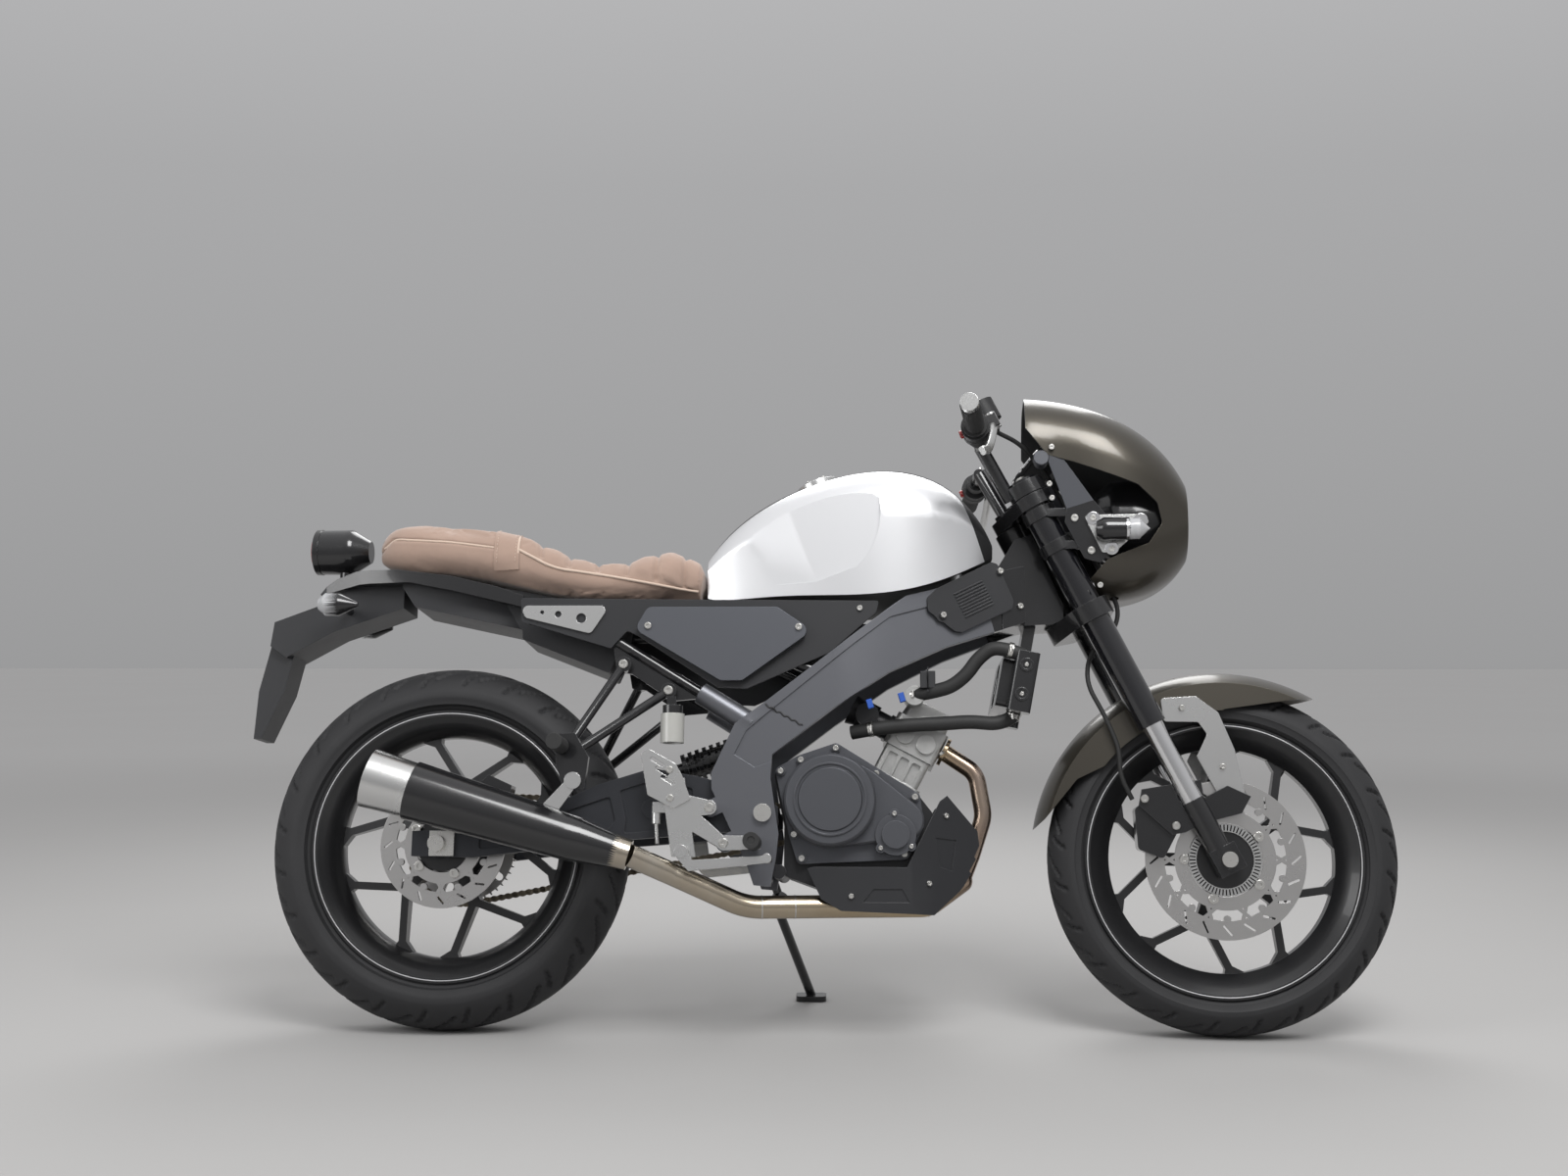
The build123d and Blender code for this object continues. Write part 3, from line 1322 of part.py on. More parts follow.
# Front mudguard and its brackets, about the front axle
mudguard_radius = front_radius + 27
mudguard_wall = 3
mudguard_side, mudguard_side_half = mudguard_radius - 22, 63
skirt_foot, skirt_half = mudguard_radius - 70, 66.5
mudguard_start, mudguard_sweep = radians(58.7), 112.8
with BuildPart() as front_mudguard:
    arc_plane = Plane(
        origin=(0, 0, 0),
        x_dir=(cos(mudguard_start), sin(mudguard_start), 0),
        z_dir=(sin(mudguard_start), -cos(mudguard_start), 0),
    )
    outer_edge = (mudguard_side, mudguard_side_half)
    inner_edge = (mudguard_side - 2, mudguard_side_half - mudguard_wall)
    with BuildSketch(arc_plane):
        with BuildLine():
            Polyline(outer_edge, (skirt_foot, skirt_half), (skirt_foot, skirt_half - mudguard_wall), inner_edge)
            ThreePointArc(inner_edge, (mudguard_radius - mudguard_wall, 0), (inner_edge[0], -inner_edge[1]))
            Polyline(
                (inner_edge[0], -inner_edge[1]),
                (skirt_foot, mudguard_wall - skirt_half),
                (skirt_foot, -skirt_half),
                (outer_edge[0], -outer_edge[1]),
            )
            ThreePointArc((outer_edge[0], -outer_edge[1]), (mudguard_radius, 0), outer_edge)
        make_face()
    revolve(axis=Axis.Z, revolution_arc=mudguard_sweep)
    with BuildSketch(Plane.XY.offset(-90)):
        with BuildLine():
            Polyline((6, 254), (168, 276), (240, 250), (120, 160), (6, 180), close=True)
        make_face()
        with BuildLine():
            Polyline((-330, 40), (-299, 68), (-243, 136), (-196, 158), (-150, 60), (-250, -20),
                     (-330, -20), close=True)
        make_face()
    extrude(amount=180, mode=Mode.SUBTRACT)
bracket_inner, bracket_wall = skirt_half + fit, 5
bracket_outline = [
    (-100, 273), (-41, 276), (-4, 248), (21, 185), (37, 104), (24, 76), (4, 84), (-42, 174),
    (-24, 211), (-38, 232), (-96, 233),
]
with BuildPart() as mudguard_brackets:
    with BuildSketch(Plane.XY.offset(bracket_inner)) as bracket_face:
        with BuildLine():
            Polyline(*bracket_outline, close=True)
        make_face()
        fillet(bracket_face.vertices(), 6)
    extrude(amount=bracket_wall)
    mirror(about=Plane.XY)

caliper_inner, caliper_outer = 39, 86
with BuildPart() as fork_feet:
    add(rod(tuple(leg_point(-14)), tuple(leg_point(slider_low)), foot_radius))
    with Locations((drawn_axle_x - 2, -leg_spread, drawn_axle_z)):
        Box(46, 38, 46, rotation=(0, -rake, 0))
    add(panel([(1290, 395), (1334, 418), (1372, 400), (1356, 372), (1310, 360)],
              bracket_inner + bracket_wall + fit, leg_spread))
    mirror(about=Plane.XZ)
    add(panel([(1290, 428), (1192, 412), (1186, 385), (1240, 336), (1262, 340), (1300, 360)],
              caliper_outer + fit, caliper_outer + 8))
    for face in (-1, 1):
        add(rod(tuple(leg_point(slider_low, face)), tuple(leg_point(260, face)), slider_radius + 1),
            mode=Mode.SUBTRACT)
    add(rod((drawn_axle_x, -200, drawn_axle_z), (drawn_axle_x, 200, drawn_axle_z), axle_radius + running),
        mode=Mode.SUBTRACT)
with BuildPart() as front_axle:
    nut_place = leg_spread + foot_radius
    add(rod((drawn_axle_x, -nut_place - 10, drawn_axle_z), (drawn_axle_x, nut_place + 10, drawn_axle_z),
            axle_radius))
    for face in (-1, 1):
        add(rod((drawn_axle_x, face * (nut_place + fit), drawn_axle_z),
                (drawn_axle_x, face * (nut_place + 10), drawn_axle_z), 13))
with BuildPart() as front_caliper:
    with BuildSketch(side(caliper_inner)) as caliper_face:
        with BuildLine():
            Polyline((1180, 380), (1212, 402), (1256, 352), (1226, 296), (1184, 312), close=True)
        make_face()
        fillet(caliper_face.vertices(), 8)
    extrude(amount=caliper_outer - caliper_inner)
    with BuildSketch(side(front_disc_place - 2.5)):
        with Locations((drawn_axle_x, drawn_axle_z)):
            Circle(front_disc_radius + 4)
    extrude(amount=disc_thickness + 5, mode=Mode.SUBTRACT)
with BuildPart() as front_brake_hose:
    add(tube(brake_hose_route, 4, corner_radii(brake_hose_route)))
    add(front_caliper.part, mode=Mode.SUBTRACT)
    add(controls.part.moved(fork_plane.location), mode=Mode.SUBTRACT)

groups = [
    (front_hub, {
        "front_tyre": front_tyre, "front_wheel": front_wheel, "front_disc": front_disc,
        "front_mudguard": front_mudguard, "mudguard_brackets": mudguard_brackets,
    }),
    (rear_hub, {
        "rear_tyre": rear_tyre, "rear_wheel": rear_wheel, "rear_disc": rear_disc,
        "rear_sprocket": rear_sprocket,
    }),
    (fork, {
        "fork_yokes": fork_yokes, "fork_tubes": fork_tubes, "fork_sliders": fork_sliders,
        "handlebars": handlebars, "grips": grips, "controls": controls, "levers": levers,
    }),
    (steered, {
        "instrument": instrument, "headlight": headlight, "headlight_stays": headlight_stays,
        "cowl": cowl, "front_indicators": front_indicators, "fork_feet": fork_feet,
        "front_axle": front_axle, "front_caliper": front_caliper, "front_brake_hose": front_brake_hose,
    }),
    (parked, {
        "main_frame": main_frame, "head_covers": head_covers, "axle_and_pivot": axle_and_pivot,
        "swingarm": swingarm, "throttle_body": throttle_body,
        "rear_shock": rear_shock, "crankcase": crankcase, "clutch_cover": clutch_cover,
        "cylinder": cylinder, "cylinder_head": cylinder_head, "exhaust_pipe": exhaust_pipe,
        "muffler": muffler, "muffler_strap": muffler_strap, "skid_guard": skid_guard,
        "radiator": radiator, "coolant_hoses": coolant_hoses, "drive_chain": drive_chain,
        "fuel_tank": fuel_tank, "subframe": subframe, "seat": seat, "inner_panels": inner_panels,
        "tail_cowl": tail_cowl, "side_covers": side_covers, "rear_lamps": rear_lamps,
        "plate_holder": plate_holder, "peg_stays": peg_stays, "foot_pegs": foot_pegs,
        "footrest_brackets": footrest_brackets, "foot_levers": foot_levers,
        "rear_master_cylinder": rear_master_cylinder, "rear_caliper": rear_caliper,
        "side_stand": side_stand, "stand_bracket": stand_bracket,
    }),
]
for place, pieces in groups:
    for name, piece in pieces.items():
        save(piece.part, name, place)
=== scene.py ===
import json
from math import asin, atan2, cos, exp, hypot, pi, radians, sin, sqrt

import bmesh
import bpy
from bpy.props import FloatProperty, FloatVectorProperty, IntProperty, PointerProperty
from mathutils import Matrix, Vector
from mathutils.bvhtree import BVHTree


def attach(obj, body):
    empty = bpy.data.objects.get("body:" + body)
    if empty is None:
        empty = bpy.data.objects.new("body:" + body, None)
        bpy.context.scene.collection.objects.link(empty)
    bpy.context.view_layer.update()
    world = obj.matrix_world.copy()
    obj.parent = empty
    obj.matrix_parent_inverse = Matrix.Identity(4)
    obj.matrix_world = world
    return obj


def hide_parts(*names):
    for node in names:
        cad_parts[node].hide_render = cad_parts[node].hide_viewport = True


bl_info = {
    "name": "Cafe racer motorcycle",
    "version": (1, 0, 0),
    "blender": (4, 5, 0),
    "location": "View3D > Sidebar > Motorcycle",
    "description": "Dresses the packed model of a cafe racer: paint, castings, rubber, seat and fittings",
    "category": "Add Mesh",
}

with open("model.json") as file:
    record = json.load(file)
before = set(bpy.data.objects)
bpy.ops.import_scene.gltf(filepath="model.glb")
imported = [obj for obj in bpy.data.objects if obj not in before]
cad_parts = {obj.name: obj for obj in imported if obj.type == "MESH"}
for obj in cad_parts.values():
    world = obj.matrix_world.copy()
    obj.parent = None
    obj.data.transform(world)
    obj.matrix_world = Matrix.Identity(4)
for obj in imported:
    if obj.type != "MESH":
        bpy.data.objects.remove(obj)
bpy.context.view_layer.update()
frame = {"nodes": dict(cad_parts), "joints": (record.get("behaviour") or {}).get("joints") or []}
joints = {joint["name"]: joint for joint in frame["joints"]}

# The motorcycle's own frame, in millimetres: x forward from the rear axle, y left, z up from the road
MM = 0.001
WHEELBASE = 1330
REAR_RADIUS = 312
FRONT_RADIUS = 295
STEER = radians(-4)
LEAN = radians(9.5)
AHEAD, RIGHT, LEFT, UP = (1, 0, 0), (0, -1, 0), (0, 1, 0), (0, 0, 1)
SIDES = (-1, 1)


def joint_frame(name):
    """Point and unit axis of a joint."""
    joint = joints[name]
    return Vector(joint["pos_m"]), Vector(joint["axis"]).normalized()


rear_hub, left = joint_frame("rear_wheel_spin")
front_hub, front_left = joint_frame("front_wheel_spin")
steering_point, steering_axis = joint_frame("steering")
forward = Vector(AHEAD)
upward = forward.cross(left)


def axes(x_axis, y_axis, z_axis, origin):
    """Matrix that places millimetres along three axes from an origin in metres."""
    turned = Matrix((x_axis, y_axis, z_axis)).transposed().to_4x4()
    return Matrix.Translation(origin) @ turned @ Matrix.Scale(MM, 4)


BIKE = axes(forward, left, upward, rear_hub - upward * REAR_RADIUS * MM)
about_stem = (
    Matrix.Translation(steering_point)
    @ Matrix.Rotation(STEER, 4, steering_axis)
    @ Matrix.Translation(-steering_point)
)
STEERED = about_stem @ BIKE
front_forward = (STEERED.to_3x3() @ forward).normalized()

# Bodies, each with the frame in millimetres that its pieces are drawn in
CHASSIS = ("chassis", BIKE)
FRONT_END = ("front_end", STEERED)
FORK = ("front_end", about_stem @ axes(left.cross(steering_axis), left, steering_axis, steering_point))
FRONT_WHEEL = ("front_wheel", axes(front_forward, front_left, front_forward.cross(front_left), front_hub))
REAR_WHEEL = ("rear_wheel", axes(forward, left, upward, rear_hub))

FINISHES = {}
TREES = {}


def length(name, description, default, low, high):
    """Length property in metres."""
    return FloatProperty(name=name, description=description, default=default, min=low, max=high,
                         subtype="DISTANCE", unit="LENGTH")


def tint(name, description, red, green, blue):
    """Colour property."""
    return FloatVectorProperty(name=name, description=description, default=(red, green, blue, 1), size=4,
                               min=0, max=1, subtype="COLOR")


class MotorcycleSizes(bpy.types.PropertyGroup):
    """Sizes of the fittings and of the soft parts"""

    tread_depth: length("Tread depth", "Depth of the grooves in the tyres", 0.0045, 0, 0.008)
    tread_pitches: IntProperty(
        name="Tread pitches", description="How often the tread repeats round a tyre", default=24,
        min=8, max=40)
    channel_depth: length("Seat channel depth", "Depth of the seat's sewn channels", 0.0055, 0, 0.01)
    piping_radius: length("Piping radius", "Radius of the piping round the seat's top", 0.0024, 0.001, 0.005)
    link_pitch: length("Link pitch", "Distance between the chain's pins", 0.0127, 0.008, 0.02)
    fin_pitch: length("Fin pitch", "Distance between the radiator's fins", 0.003, 0.002, 0.01)
    bolt_height: FloatProperty(
        name="Bolt height", description="Height of a bolt's head as a share of its radius", default=0.55,
        min=0.1, max=1.5, subtype="FACTOR")


class MotorcycleColours(bpy.types.PropertyGroup):
    """Colours of the paint and of the seat"""

    tank: tint("Tank", "Satin silver of the fuel tank", 0.84, 0.845, 0.86)
    cowl: tint("Cowl", "Bronze graphite of the cowl and the front mudguard", 0.066, 0.059, 0.047)
    panels: tint("Side covers", "Dark grey of the side covers", 0.112, 0.117, 0.132)
    frame_paint: tint("Frame", "Satin grey black of the frame", 0.155, 0.159, 0.174)
    seat: tint("Seat", "Tan suede of the seat", 0.40, 0.285, 0.228)
    thread: tint("Seat thread", "Pale thread and piping of the seat", 0.60, 0.47, 0.38)
    rim_line: tint("Rim line", "Thin line round each rim", 0.55, 0.55, 0.56)


def sizes():
    """Sizes that the user set in the panel."""
    return bpy.context.scene.motorcycle_sizes


# Objects and meshes
def linked(name, mesh):
    """Object of a mesh, linked to the scene."""
    made = bpy.data.objects.new(name, mesh)
    bpy.context.scene.collection.objects.link(made)
    return made


def written(name, bm):
    """Linked object of a bmesh, which is freed."""
    mesh = bpy.data.meshes.new(name)
    bm.to_mesh(mesh)
    bm.free()
    return linked(name, mesh)


def evaluated(carrier):
    """bmesh of an object as its modifiers leave it; the object is removed."""
    depsgraph = bpy.context.evaluated_depsgraph_get()
    mesh = bpy.data.meshes.new_from_object(carrier.evaluated_get(depsgraph))
    bpy.data.objects.remove(carrier)
    bm = bmesh.new()
    bm.from_mesh(mesh)
    bpy.data.meshes.remove(mesh)
    return bm


def finish_piece(name, bm, body, materials, *nodes, sharp=35):
    """Write a bmesh to a smooth piece that rides on a body, with sharp edges marked."""
    for face in bm.faces:
        face.smooth = True
    limit = radians(sharp)
    for edge in bm.edges:
        if len(edge.link_faces) == 2 and edge.calc_face_angle(0) > limit:
            edge.smooth = False
    made = written(name, bm)
    for material in materials.split():
        made.data.materials.append(FINISHES[material])
    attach(made, body)
    if nodes:
        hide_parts(*nodes)
    return made


def piece(name, where, materials, bm, *nodes, sharp=35):
    """Set a bmesh in its place as a piece that rides on a body and may stand for nodes."""
    body, place = where
    bm.transform(place)
    bmesh.ops.recalc_face_normals(bm, faces=bm.faces)
    return finish_piece(name, bm, body, materials, *nodes, sharp=sharp)


def drawn(name, where, materials, *parts):
    """Piece of several parts, each given as a drawing function and what it needs."""
    bm = bmesh.new()
    for draw, *given in parts:
        draw(bm, *given)
    return piece(name, where, materials, bm)


def welded(node):
    """Copy of a node's mesh with its loose triangles joined."""
    bm = bmesh.new()
    bm.from_mesh(frame["nodes"][node].data)
    bmesh.ops.remove_doubles(bm, verts=bm.verts, dist=0.00002)
    return bm


def painted(node, where, materials, rules=(), cuts=(), name=None, sharp=35):
    """Smooth copy of a node's mesh, cut along planes; a face takes the finish of the first rule it passes.

    A rule is a slot and a test of the face's middle and normal, in millimetres.
    """
    body, place = where
    back = place.inverted()
    turn = place.to_3x3().normalized().inverted()
    bm = welded(node)
    for point, normal in cuts:
        across = (back.transposed().to_3x3() @ Vector(normal)).normalized()
        everything = bm.verts[:] + bm.edges[:] + bm.faces[:]
        bmesh.ops.bisect_plane(bm, geom=everything, plane_co=place @ Vector(point), plane_no=across,
                               dist=1e-6)
    for face in bm.faces if rules else ():
        middle = back @ face.calc_center_median()
        normal = turn @ face.normal
        for slot, passes in rules:
            if passes(middle, normal):
                face.material_index = slot
                break
    return finish_piece(name or f"{node}_finished", bm, body, materials, node, sharp=sharp)


def beyond(point, normal):
    """Test whether a face lies beyond a plane."""
    return lambda middle, _: (middle - Vector(point)).dot(Vector(normal)) > 0


def facing(origin, normal, across=None):
    """Frame at a point whose z axis lies along a normal."""
    z_axis = Vector(normal).normalized()
    guide = Vector(across) if across else (Vector(UP) if abs(z_axis.z) < 0.9 else forward)
    y_axis = z_axis.cross(guide).normalized()
    turned = Matrix((y_axis.cross(z_axis), y_axis, z_axis)).transposed().to_4x4()
    return Matrix.Translation(Vector(origin)) @ turned


def lifted(height):
    """Frame at a height above the origin."""
    return Matrix.Translation((0, 0, height))


def oblong(half_length, half_width):
    """Corners of an oblong about the origin."""
    return [(-half_length, -half_width), (half_length, -half_width), (half_length, half_width),
            (-half_length, half_width)]


def bridge(bm, rings, closed=True):
    """Faces from each row of points to the next; a row of one point closes an end."""
    for low, high in zip(rings, rings[1:]):
        count = max(len(low), len(high))
        for k in range(count if closed else count - 1):
            after = (k + 1) % count
            if len(low) == 1:
                bm.faces.new((low[0], high[after], high[k]))
            elif len(high) == 1:
                bm.faces.new((low[k], low[after], high[0]))
            else:
                bm.faces.new((low[k], low[after], high[after], high[k]))


def add_turned(bm, place, profile, count=32, closed=False):
    """Turn (radius, height) points about a frame's z axis; a zero radius closes the end."""
    rings = []
    for radius, height in profile:
        turns = [2 * pi * k / count for k in range(count if radius else 1)]
        rings.append([
            bm.verts.new(place @ Vector((radius * cos(turn), radius * sin(turn), height))) for turn in turns
        ])
    bridge(bm, rings + rings[:1] if closed else rings)


def add_ring(bm, place, inner, outer, low, high, count=48, edge=0.4):
    """Flat ring between two radii with small chamfers."""
    profile = [(inner, low), (outer, low), (outer, high - edge), (outer - edge, high), (inner + edge, high),
               (inner, high - edge)]
    add_turned(bm, place, profile, count, closed=True)


def add_slab(bm, place, outline, depth, edge=0.6):
    """Plate of a convex or plain outline, from a frame's plane up to a depth, its upper edge chamfered."""
    corners = [Vector(point) for point in outline]
    middle = sum(corners, Vector((0, 0))) / len(corners)
    inset = [corner + (middle - corner).normalized() * edge for corner in corners]
    rows = [
        [bm.verts.new(place @ Vector((x, y, height))) for x, y in loop]
        for loop, height in ((corners, 0), (corners, depth - edge), (inset, depth))
    ]
    bridge(bm, rows)
    bm.faces.new(rows[-1])
    bm.faces.new(rows[0][::-1])


def smooth_route(points, steps):
    """Points on a curve that passes through the given ones."""
    spots = [Vector(point) for point in points]
    spots = [2 * spots[0] - spots[1]] + spots + [2 * spots[-1] - spots[-2]]
    route = []
    for a, b, c, d in zip(spots, spots[1:], spots[2:], spots[3:]):
        for step in range(steps):
            t = step / steps
            bend = (2 * a - 5 * b + 4 * c - d) * t ** 2 + (3 * b - a - 3 * c + d) * t ** 3
            route.append(0.5 * (2 * b + (c - a) * t + bend))
    route.append(spots[-2])
    return route


def add_hose(bm, points, radius, count, steps):
    """Closed round hose through these points."""
    route = smooth_route(points, steps)
    side = (route[1] - route[0]).orthogonal().normalized()
    rings = []
    for index, spot in enumerate(route):
        near, far = route[max(index - 1, 0)], route[min(index + 1, len(route) - 1)]
        run = (far - near).normalized()
        side = (side - run * side.dot(run)).normalized()
        other = run.cross(side)
        turns = [2 * pi * k / count for k in range(count)]
        rings.append([
            bm.verts.new(spot + radius * (cos(turn) * side + sin(turn) * other)) for turn in turns
        ])
    bridge(bm, rings)
    bm.faces.new(rings[0][::-1])
    bm.faces.new(rings[-1])


def smoothstep(low, high, value):
    """Share from 0 to 1 that rises softly between two values."""
    share = min(max((value - low) / (high - low), 0), 1)
    return share * share * (3 - 2 * share)


def along(table, x):
    """Value at x, read from a table of (x, value) sorted by x."""
    for before, after in zip(table, table[1:]):
        if x <= after[0]:
            share = (x - before[0]) / (after[0] - before[0])
            return before[1] + max(share, 0) * (after[1] - before[1])
    return table[-1][1]


def circle(count, radius=1, start=0):
    """Points round a circle as (first, second) coordinates, from a start in degrees."""
    for k in range(count):
        angle = radians(start) + 2 * pi * k / count
        yield radius * cos(angle), radius * sin(angle)


# Geometry node trees for what repeats
def tree_node(tree, kind, links=(), values=(), **settings):
    """Add a geometry node with its properties, its input values and its links."""
    node = tree.nodes.new(kind)
    for key, value in settings.items():
        setattr(node, key, value)
    for key, value in values:
        node.inputs[key].default_value = value
    for key, source in links:
        tree.links.new(source, node.inputs[key])
    return node


def new_tree(name, kind, inputs, outputs):
    """Node tree with named inputs (name, kind, default) and outputs (name, kind), and its two end nodes."""
    tree = bpy.data.node_groups.new(name, kind)
    for label, socket_kind, value in inputs:
        socket = tree.interface.new_socket(label, in_out="INPUT", socket_type=f"NodeSocket{socket_kind}")
        if value is not None:
            socket.default_value = value
    for label, socket_kind in outputs:
        tree.interface.new_socket(label, in_out="OUTPUT", socket_type=f"NodeSocket{socket_kind}")
    return tree, tree.nodes.new("NodeGroupInput"), tree.nodes.new("NodeGroupOutput")


def geometry_tree(name, inputs):
    """Geometry node tree with a geometry input, these inputs and a geometry output."""
    return new_tree(name, "GeometryNodeTree", [("Geometry", "Geometry", None)] + inputs,
                    [("Geometry", "Geometry")])


def place_on_points(tree, given, result, shape):
    """Set a shape on each point, turned to its facing and across directions, and make it real."""
    named = {
        label: tree_node(tree, "GeometryNodeInputNamedAttribute", data_type=kind,
                         values=[("Name", label)]).outputs["Attribute"]
        for label, kind in [("facing", "FLOAT_VECTOR"), ("across", "FLOAT_VECTOR"), ("size", "FLOAT")]
    }
    upright = tree_node(tree, "FunctionNodeAlignRotationToVector", axis="Z",
                        links=[("Vector", named["facing"])])
    turned = tree_node(tree, "FunctionNodeAlignRotationToVector", axis="X", pivot_axis="Z",
                       links=[("Rotation", upright.outputs[0]), ("Vector", named["across"])])
    placed = tree_node(tree, "GeometryNodeInstanceOnPoints", links=[
        ("Points", given.outputs["Geometry"]), ("Instance", shape), ("Rotation", turned.outputs[0]),
        ("Scale", named["size"])])
    real = tree_node(tree, "GeometryNodeRealizeInstances", links=[("Geometry", placed.outputs[0])])
    finished = tree_node(tree, "GeometryNodeSetMaterial",
                         links=[("Geometry", real.outputs[0]), ("Material", given.outputs["Finish"])])
    tree.links.new(finished.outputs[0], result.inputs[0])
    return tree


def fastener_tree():
    """Bolt, screw or rivet heads, one on each point, with a recess in the middle."""
    tree, given, result = geometry_tree("fasteners", [
        ("Sides", "Int", 6), ("Height", "Float", 0.55), ("Chamfer", "Float", 0.86),
        ("Socket", "Float", 0.45), ("Depth", "Float", 0.35), ("Finish", "Material", None)])
    up = tree_node(tree, "FunctionNodeInputVector", vector=UP)
    disc = tree_node(tree, "GeometryNodeMeshCircle", fill_type="NGON", values=[("Radius", 1.0)],
                     links=[("Vertices", given.outputs["Sides"])])

    def share_of(label, share):
        times = tree_node(tree, "ShaderNodeMath", operation="MULTIPLY", values=[(1, share)],
                          links=[(0, given.outputs[label])])
        return times.outputs[0]

    def raised(mesh, scale, below=None):
        links = [("Mesh", mesh.outputs[0]), ("Offset", up.outputs[0]), ("Offset Scale", scale)]
        if below:
            links.append(("Selection", below.outputs["Top"]))
        return tree_node(tree, "GeometryNodeExtrudeMesh", mode="FACES", links=links)

    def narrowed(made, label):
        return tree_node(tree, "GeometryNodeScaleElements", domain="FACE", links=[
            ("Geometry", made.outputs["Mesh"]), ("Selection", made.outputs["Top"]),
            ("Scale", given.outputs[label])])

    head = raised(disc, given.outputs["Height"])
    edge = raised(head, share_of("Height", 0.25), head)
    rim = raised(narrowed(edge, "Chamfer"), share_of("Height", 0.001), edge)
    recess = raised(narrowed(rim, "Socket"), share_of("Depth", -1.0), rim)
    return place_on_points(tree, given, result, recess.outputs["Mesh"])


def row_tree():
    """One small part on each point: links, fins, ribs, stitches or marks."""
    tree, given, result = geometry_tree("rows", [("Part", "Object", None), ("Finish", "Material", None)])
    part = tree_node(tree, "GeometryNodeObjectInfo", links=[("Object", given.outputs["Part"])])
    return place_on_points(tree, given, result, part.outputs["Geometry"])


def grown(name, place, rows, tree, values):
    """Mesh that a tree makes on rows of (point, normal, size, direction across) in millimetres."""
    turn = place.to_3x3().normalized()
    points, normals, acrosses, scales = [], [], [], []
    for point, normal, size, *across in rows:
        towards = turn @ Vector(normal).normalized()
        points.append(place @ Vector(point))
        normals.extend(towards)
        acrosses.extend(turn @ Vector(across[0]) if across else towards.orthogonal())
        scales.append(size * MM)
    mesh = bpy.data.meshes.new(name)
    mesh.from_pydata(points, [], [])
    for label, values_along in (("facing", normals), ("across", acrosses)):
        mesh.attributes.new(label, "FLOAT_VECTOR", "POINT").data.foreach_set("vector", values_along)
    mesh.attributes.new("size", "FLOAT", "POINT").data.foreach_set("value", scales)
    carrier = linked(name, mesh)
    modifier = carrier.modifiers.new(name, "NODES")
    modifier.node_group = tree
    for item in tree.interface.items_tree:
        if item.item_type == "SOCKET" and item.in_out == "INPUT" and item.name in values:
            modifier[item.identifier] = values[item.name]
    carrier.update_tag()
    return evaluated(carrier)


def fasteners(name, where, rows, material="steel", sides=6, height=None, socket=0.45, depth=0.35,
              chamfer=0.86):
    """Heads of bolts, screws or rivets on rows of (point, normal, size) as one piece."""
    body, place = where
    values = {
        "Sides": sides, "Height": height or sizes().bolt_height, "Socket": socket, "Depth": depth,
        "Chamfer": chamfer, "Finish": FINISHES[material],
    }
    bm = grown(name, place, rows, TREES["fasteners"], values)
    bmesh.ops.recalc_face_normals(bm, faces=bm.faces)
    return finish_piece(name, bm, body, material)


def repeated(name, where, material, part, rows, *nodes):
    """Copies of one small bmesh on rows of (point, normal, size, across), in millimetres, as one piece."""
    body, place = where
    bmesh.ops.recalc_face_normals(part, faces=part.faces)
    single = written(f"{name}_part", part)
    bm = grown(name, place, rows, TREES["rows"], {"Part": single, "Finish": FINISHES[material]})
    bpy.data.objects.remove(single)
    return finish_piece(name, bm, body, material, *nodes)


def small_slab(place, outline, depth, edge):
    """bmesh of one slab, for copies."""
    part = bmesh.new()
    add_slab(part, place, outline, depth, edge)
    return part


def right_rows(y, size, points):
    """Rows that face right at these (x, z) points."""
    return [((x, -y, z), RIGHT, size) for x, z in points]


def mirrored(points):
    """Rows that face outwards on both sides, from (x, y, z, size) on the left."""
    return [((x, side * y, z), (0, side, 0), size) for side in SIDES for x, y, z, size in points]


# Shader nodes shared by the finishes
def set_inputs(node, values):
    """Set a node's inputs by name."""
    for key, value in values.items():
        node.inputs[key].default_value = value


def add_node(tree, kind, links=(), **settings):
    """Add a node, set its properties and inputs, and link what is given as (input, source socket)."""
    node = tree.nodes.new(f"ShaderNode{kind}")
    for key, value in settings.items():
        if key.startswith("in_"):
            node.inputs[int(key[3:])].default_value = value
        elif key[0].isupper():
            node.inputs[key.replace("_", " ")].default_value = value
        else:
            setattr(node, key, value)
    for target, source in links:
        tree.links.new(source, node.inputs[target])
    return node


def object_point(tree):
    """Socket with the object's own coordinates."""
    return add_node(tree, "TexCoord").outputs["Object"]


def noise(tree, **settings):
    """Noise texture laid out in the object's own coordinates."""
    return add_node(tree, "TexNoise", [("Vector", object_point(tree))], **settings)


def blend(tree, share, first, second):
    """Colour socket that goes from one colour to another by a share."""
    return add_node(tree, "Mix", [("Factor", share), (6, first), (7, second)], data_type="RGBA").outputs[2]


